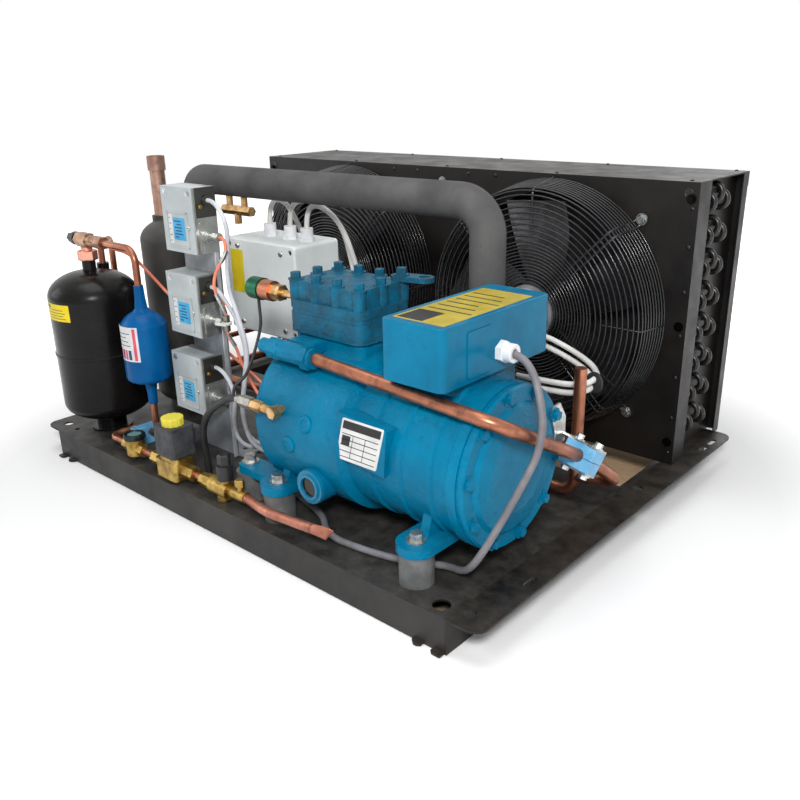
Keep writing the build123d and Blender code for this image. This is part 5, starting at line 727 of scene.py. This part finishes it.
class Build:
    """Collects boxes, plates and drums for one mesh piece, in millimetres."""

    def __init__(self):
        self.verts, self.faces = [], []

    def add(self, verts, faces):
        start = len(self.verts)
        self.verts += [tuple(c * MM for c in v) for v in verts]
        self.faces += [tuple(start + i for i in f) for f in faces]

    def plate(self, origin, a, b, thick, outline):
        """Extrude outline, given in the plane of unit vectors a and b, from origin along a cross b."""
        origin, a, b = Vector(origin), Vector(a), Vector(b)
        n = a.cross(b).normalized() * thick
        low = [origin + a * u + b * v for u, v in outline]
        k = len(outline)
        faces = [tuple(reversed(range(k))), tuple(range(k, 2 * k))]
        faces += [(i, (i + 1) % k, k + (i + 1) % k, k + i) for i in range(k)]
        self.add(low + [p + n for p in low], faces)

    def lathe(self, origin, axis, profile, count=32):
        """Turn (distance along the axis, radius) pairs round the axis."""
        axis = Vector(axis).normalized()
        side = axis.orthogonal().normalized()
        other = axis.cross(side)
        origin = Vector(origin)
        verts = []
        for along, radius in profile:
            for i in range(count):
                t = 2 * math.pi * i / count
                verts.append(origin + axis * along + (side * math.cos(t) + other * math.sin(t)) * radius)
        faces = []
        for k in range(len(profile) - 1):
            for i in range(count):
                j = (i + 1) % count
                faces.append((k * count + i, k * count + j, (k + 1) * count + j, (k + 1) * count + i))
        faces.append(tuple(reversed(range(count))))
        faces.append(tuple(range((len(profile) - 1) * count, len(profile) * count)))
        self.add(verts, faces)

    def patch(self, centre, radius, angles, z, lift=0.15, count=14):
        """Curved label on an upright drum, with a small thickness."""
        cx, cy = centre
        a0, a1 = (math.radians(a) for a in angles)
        verts = []
        for r in (radius + lift, radius + 0.02):
            for k in range(count + 1):
                t = a0 + (a1 - a0) * k / count
                for zz in z:
                    verts.append((cx + r * math.cos(t), cy + r * math.sin(t), zz))
        faces = []
        half = 2 * (count + 1)
        for k in range(count):
            a = 2 * k
            faces.append((a, a + 2, a + 3, a + 1))
            faces.append((half + a, half + a + 1, half + a + 3, half + a + 2))
            faces.append((a, half + a, half + a + 2, a + 2))
            faces.append((a + 1, a + 3, half + a + 3, half + a + 1))
        faces.append((0, 1, half + 1, half))
        e = 2 * count
        faces.append((e, half + e, half + e + 1, e + 1))
        self.add(verts, faces)

    def piece(self, name, mat, slot, smooth=False, bevel=0.0):
        obj = on_unit(mesh_object(name, self.verts, self.faces, mat))
        if bevel:
            mod = obj.modifiers.new("edge", "BEVEL")
            mod.width = bevel * MM
            mod.segments = 2
            mod.limit_method = "ANGLE"
            mod.angle_limit = math.radians(40)
        if smooth:
            for poly in obj.data.polygons:
                poly.use_smooth = len(poly.vertices) == 4
        return obj


def rect(u0, v0, u1, v1, r=0.0, steps=4):
    """Rectangle outline, with rounded corners when r is above nought."""
    if r <= 0:
        return [(u0, v0), (u1, v0), (u1, v1), (u0, v1)]
    out = []
    for cu, cv, a0 in ((u1 - r, v0 + r, -90), (u1 - r, v1 - r, 0), (u0 + r, v1 - r, 90),
        (u0 + r, v0 + r, 180)):
        for k in range(steps + 1):
            t = math.radians(a0 + 90 * k / steps)
            out.append((cu + r * math.cos(t), cv + r * math.sin(t)))
    return out


X, Y, Z = Vector((1, 0, 0)), Vector((0, 1, 0)), Vector((0, 0, 1))


# Side rails: flange outward at deck level, web, and a foot flange turned in under the deck


def plate_with_holes(name, outline, holes, z, thick, mat):
    """Flat plate cut from a closed outline, with round or long holes, at height z."""
    data = bpy.data.curves.new(name, "CURVE")
    data.dimensions = "2D"
    data.fill_mode = "BOTH"
    data.extrude = thick / 2 * MM
    for loop in (outline, *holes):
        spline = data.splines.new("POLY")
        spline.points.add(len(loop) - 1)
        for point, (x, y) in zip(spline.points, loop):
            point.co = (x * MM, y * MM, 0, 1)
        spline.use_cyclic_u = True
    data.materials.append(mat)
    obj = bpy.data.objects.new(name, data)
    obj.location = (0, 0, (z + thick / 2) * MM)
    bpy.context.collection.objects.link(obj)
    return obj


def slot(cx, cy, r, half=0.0, count=10):
    """Hole outline: a circle, or a slot along y when half is above nought."""
    upper = [(cx + r * math.cos(math.pi * k / count),
        cy + half + r * math.sin(math.pi * k / count)) for k in range(count + 1)]
    lower = [(cx - r * math.cos(math.pi * k / count),
        cy - half - r * math.sin(math.pi * k / count)) for k in range(count + 1)]
    return upper + lower[:-1] if half else upper + lower[1:-1]


def side_rails():
    front, back, web, edge = -384.5, 382.5, 469.0, 520.0
    build = Build()
    for side, word in ((-1, "left"), (1, "right")):
        arcs = []
        for cy, a0 in ((front + 20, -90), (back - 20, 0)):
            arcs += [
                (edge - 20 + 20 * math.cos(math.radians(a0 + 15 * k)),
                    cy + 20 * math.sin(math.radians(a0 + 15 * k)))
                for k in range(7)
            ]
        outline = [(web, front), *arcs, (web, back)]
        holes = [slot(486, -355.5, 8.5), slot(486, 83, 8.5)]
        holes += [slot(503, y, 4.5, 8.5) for y in (293, 330, -250)]
        flip = [[(side * x, y) for x, y in loop] for loop in (outline, *holes)]
        top = on_unit(
            plate_with_holes("rail_flange_" + word, flip[0], flip[1:], 48, 3, M["skirt"])
        )
        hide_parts("side_rails")
        mouth = [(452, -388), *[(444 + 8 * math.cos(math.radians(a)),
            -370 + 8 * math.sin(math.radians(a))) for a in range(0, 181, 20)]]
        sole = [(467.5, -394.3), (468.8, -393), (468.8, back), (418, back), (418, -380), (420, -389),
            (426, -394.3), (431, -394.3)]
        sole += [(436, -391), *reversed(mouth), (452, -391), (456, -394.3)]
        base = on_unit(
            plate_with_holes("rail_sole_" + word, [(side * x, y) for x, y in sole], [], 0.1, 2.8,
                M["skirt"])
        )
        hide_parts("side_rails")
        x0 = web if side > 0 else -web - 3
        build.plate((x0, 0, 0), X, Y, 48.0, rect(0, front, 3, back))
    webs = build.piece("rail_webs", M["skirt"], "dark_sheet")
    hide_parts("side_rails")


side_rails()


# Labels: bare colour blocks and ruled lines


def lid_label():
    base = Build()
    base.plate((0, 0, 389.02), X, Y, 0.18, rect(328, -311, 409, -122, 2))
    base.piece("lid_label", M["dull_yellow"], "teal_sheet")
    marks = Build()
    marks.plate((0, 0, 389.22), X, Y, 0.08, rect(332, -307, 372, -262))
    for i in range(6):
        y = -250 + i * 19
        marks.plate((0, 0, 389.22), X, Y, 0.08, rect(334, y, 403 - 9 * (i % 3), y + 3.4))
    marks.piece("lid_label_blocks", M["ink"], "teal_sheet")


def name_plate():
    """Bare plate on the crankcase pad, leaning as in the photograph."""
    origin = Vector((245, -338.55, 185))
    a = (Vector((318.6, -338.55, 185.6)) - origin) / 73.6
    b = (Vector((262, -338.55, 247.5)) - origin) / 64.8
    base = Build()
    base.plate(origin, a, b, 0.7, rect(0, 0, 73.6, 64.8, 2.5))
    base.piece("name_plate", M["white"], "teal_casting")
    dark = Build()
    at = origin - Vector((0, 0.75, 0))
    dark.plate(at, a, b, 0.12, rect(3, 49, 70.5, 61.5))
    for i in range(5):
        dark.plate(at, a, b, 0.12, rect(4, 41 - 9 * i, 69, 42.2 - 9 * i))
    for u in (24, 46):
        dark.plate(at, a, b, 0.12, rect(u, 5, u + 0.9, 42))
    dark.plate(at, a, b, 0.12, rect(5, 24, 20, 39))
    dark.piece("name_plate_blocks", M["ink"], "teal_casting")


def vessel_labels():
    base = Build()
    base.patch((-414, -303.5), 79, (-108, -62), (275, 305), 0.2)
    base.piece("receiver_label", M["yellow"], "vessel_black")
    marks = Build()
    for i, z in enumerate((279, 284, 289, 294)):
        marks.patch((-414, -303.5), 79.22, (-104, -68 - 4 * (i % 2)), (z, z + 1.5), 0.06)
    marks.patch((-414, -303.5), 79.22, (-106, -96), (297, 303), 0.06)
    marks.piece("receiver_label_lines", M["ink_soft"], "vessel_black")
    base = Build()
    base.patch((-258, -303.5), 39.3, (-130, -48), (221, 281.5), 0.2)
    base.piece("drier_label", M["white"], "drier_blue")
    red = Build()
    red.patch((-258, -303.5), 39.52, (-62, -54), (223, 279), 0.06)
    for i in (1, 3):
        red.patch((-258, -303.5), 39.52, (-127 + 12 * i, -118 + 12 * i), (224, 241), 0.06)
    red.piece("drier_label_stripes", M["red"], "drier_blue")
    ink = Build()
    for i in (0, 2, 4):
        ink.patch((-258, -303.5), 39.52, (-127 + 12 * i, -118 + 12 * i), (224, 241), 0.06)
    for i in range(4):
        ink.patch((-258, -303.5), 39.52, (-127, -70 - 6 * (i % 3)), (248 + 7 * i, 249.4 + 7 * i), 0.06)
    ink.piece("drier_label_lines", M["navy"], "drier_blue")


def box_face():
    base = Build()
    base.plate((0, -104.55, 0), X, Z, 0.25, rect(-260, 299, -225, 378, 2))
    base.piece("box_label", M["yellow"], "cover_grey")
    screws = Build()
    slots = Build()
    for x, z in ((-119, 383), (-237, 386), (-119, 244), (-237, 244)):
        screws.lathe((x, -104.6, z), -Y, [(0, 5.2), (1.2, 5.2), (2.4, 4.2), (2.8, 2.2)], 24)
        # Black strip across each screw head: painted shade in the screw slot.
        slots.plate((x, -107.42, z), X, Z, 0.12, rect(-3.2, -0.6, 3.2, 0.6))
    screws.piece("box_screws", M["zinc"], "zinc", smooth=True)
    slots.piece("box_screw_slot_shade", M["ink"], "zinc")


def switch_faces():
    frames, strips, blues, lines, screws, knobs, slots = (Build() for _ in range(7))
    for cx, cz in ((-146, 461.5), (-158, 323.5), (-169, 184.5)):
        y = -284.55
        u0, u1, v0, v1 = cx - 31, cx + 24, cz - 43.5, cz + 12.5
        for box in ((u0, v0, u1, v0 + 2.2), (u0, v1 - 2.2, u1, v1), (u0, v0, u0 + 2.2, v1),
            (u1 - 2.2, v0, u1, v1)):
            frames.plate((0, y, 0), X, Z, 1.6, rect(*box))
        strips.plate((0, y, 0), X, Z, 0.5, rect(cx - 27, cz - 38, cx - 18, cz + 8))
        blues.plate((0, y, 0), X, Z, 0.7, rect(cx - 15, cz - 31.5, cx + 15, cz + 3.5, 1.5))
        for i, (u, w) in enumerate(((-12, 9), (-12, 22), (-9, 16), (-12, 20), (-6, 12), (-12, 18))):
            lines.plate(
                (0, y - 0.72, 0), X, Z, 0.1, rect(cx + u, cz - 28 + 5 * i, cx + u + w, cz - 26 + 5 * i)
            )
        screws.lathe((cx + 25, y, cz - 10.5), -Y, [(0, 3.6), (1.0, 3.6), (1.8, 2.6)], 20)
        # Black strip across the screw head: painted shade in the screw slot. The ticks added next are print
        # on the scale.
        slots.plate((cx + 25, y - 1.85, cz - 10.5), X, Z, 0.1, rect(-2.4, -0.5, 2.4, 0.5))
        for i in range(5):
            slots.plate(
                (0, y - 0.55, 0), X, Z, 0.1, rect(
                    cx - 26, cz - 34 + 9 * i, cx - 22 + (i % 2) * 2, cz - 33 + 9 * i
                )
            )
        knobs.lathe((cx + 42.1, -272, cz + 22), X, [(0, 3.2), (2.0, 3.2), (2.6, 2.4)], 18)
    frames.piece("switch_frames", M["cover"], "cover_grey", bevel=0.5)
    strips.piece("switch_scales", M["white"], "cover_grey")
    blues.piece("switch_labels", M["blue"], "cover_grey")
    lines.piece("switch_label_lines", M["navy"], "cover_grey")
    screws.piece("switch_screws", M["zinc"], "zinc", smooth=True)
    slots.piece("switch_ticks_and_slot_shade", M["ink"], "zinc")
    knobs.piece("switch_knobs", M["brass"], "zinc", smooth=True)


lid_label()
name_plate()
vessel_labels()
box_face()
switch_faces()


# Small fasteners, ties and seals


def rivets():
    build = Build()
    heads = [(0, 3.2), (0.6, 3.2), (1.5, 2.3), (1.9, 1.0)]
    for x in (-481, 481):
        for z in (72, 134, 204, 274, 344, 414, 472):
            build.lathe((x, 195.4, z), -Y, heads, 16)
    for x in (-120, -60, 60, 120):
        for z in (60, 502):
            build.lathe((x, 195.4, z), -Y, heads, 16)
    for x in (-482, 482):
        build.lathe(
            (x - math.copysign(9, x), 195.4, 494), -Y, [(0, 7), (0.8, 7), (0.9, 5.6), (0.3, 5.4)], 24
        )
    build.piece("shroud_rivets", M["bends"], "black_casing", smooth=True)
    build = Build()
    for x in (-470, -235, 0, 235, 470):
        build.lathe((x, 384, 511.05), Z, heads, 16)
        build.lathe((x, 210, 511.05), Z, heads, 16)
    build.piece("cover_rivets", M["casing"], "black_casing", smooth=True)


def ties_and_ferrules():
    """Cable ties, hose ferrules and the white tie on the hose tee."""
    build = Build()
    for at, axis, r in (((426, 30, 229), (0.3, 1, -0.1), 16.5), ((300, 9, 213), (1, 0, 0.06), 15.5)):
        build.lathe(at, axis, [(-1.8, r - 0.8), (-1.8, r), (1.8, r), (1.8, r - 0.8)], 28)
    build.piece("cable_ties", M["black_rubber"], "black_cap", smooth=True)
    paths = [
        [(-59.3, -263.2, 420), (-63, -266, 410), (-67.5, -268.8, 401.5)],
        [(-83.6, -272.5, 350), (-81.8, -268, 336), (-80, -259.7, 316)],
        [(-80, -259.5, 282), (-79.2, -254, 268), (-77.6, -248.5, 259)],
    ]
    on_unit(curve_object("hose_ferrules", paths, 3.4, M["zinc"], kind="NURBS"))
    tie = Build()
    tie.lathe((-80, -259.5, 299.5), Z, [(-2.4, 6.2), (-2.4, 8), (2.4, 8), (2.4, 6.2)], 28)
    tie.plate((-90, -268.6, 296), Vector((1, -0.1, 0.12)).normalized(), Z, 1.4, rect(-9, 0, 24, 5, 1))
    tie.piece("tee_tie", M["tie_white"], "cable_white", smooth=True)


def crimp():
    """Flattened and cut end of the liquid stub."""
    verts, faces = [], []
    count = 24
    stations = [(227.4, 7.5, 7.5, 0), (236, 8.6, 5.2, 0), (246, 9.8, 2.6, 0), (252, 10.2, 1.7, 0),
        (262, 10.3, 1.5, 8)]
    for x, high, deep, slant in stations:
        for i in range(count):
            t = 2 * math.pi * i / count
            z = high * math.sin(t)
            verts.append(
                Vector((x + slant * z / 10, -375.4 + 0.06 * (x - 228) + deep * math.cos(t),
                    85 + 0.02 * (x - 228) + z)) * MM
            )
    for k in range(len(stations) - 1):
        for i in range(count):
            j = (i + 1) % count
            faces.append((k * count + i, k * count + j, (k + 1) * count + j, (k + 1) * count + i))
    faces.append(tuple(reversed(range(count))))
    faces.append(tuple(range((len(stations) - 1) * count, len(stations) * count)))
    on_unit(mesh_object("stub_crimp", verts, faces, M["copper_pink"], smooth=True))


def bosses_and_edge():
    """Plug bosses on the crankcase and the instrument stand's folded edge, lighter than the stand as a
    painted highlight.
    """
    build = Build()
    for x, z in ((187, 218), (152, 179)):
        dz = z - 190
        out = Vector((0, -math.sqrt(119 ** 2 - dz ** 2), dz)) / 119
        at = Vector((x, -224.5, 190)) + out * 118
        build.lathe(at, out, [(0, 13), (2.6, 12.4), (4.4, 10.6), (5, 8), (5, 6.6), (3.6, 6.4)], 36)
    build.piece("case_plugs", M["teal"], "teal_casting", smooth=True)
    # Folded edge strip in the lighter grey: painted highlight.
    build = Build()
    build.plate((-108.05, -243.6, 51.4), X, Z, 6.5, rect(0, 0, 2.2, 453))
    build.piece("stand_edge_highlight", M["edge"], "zinc")


rivets()
ties_and_ferrules()
crimp()
bosses_and_edge()
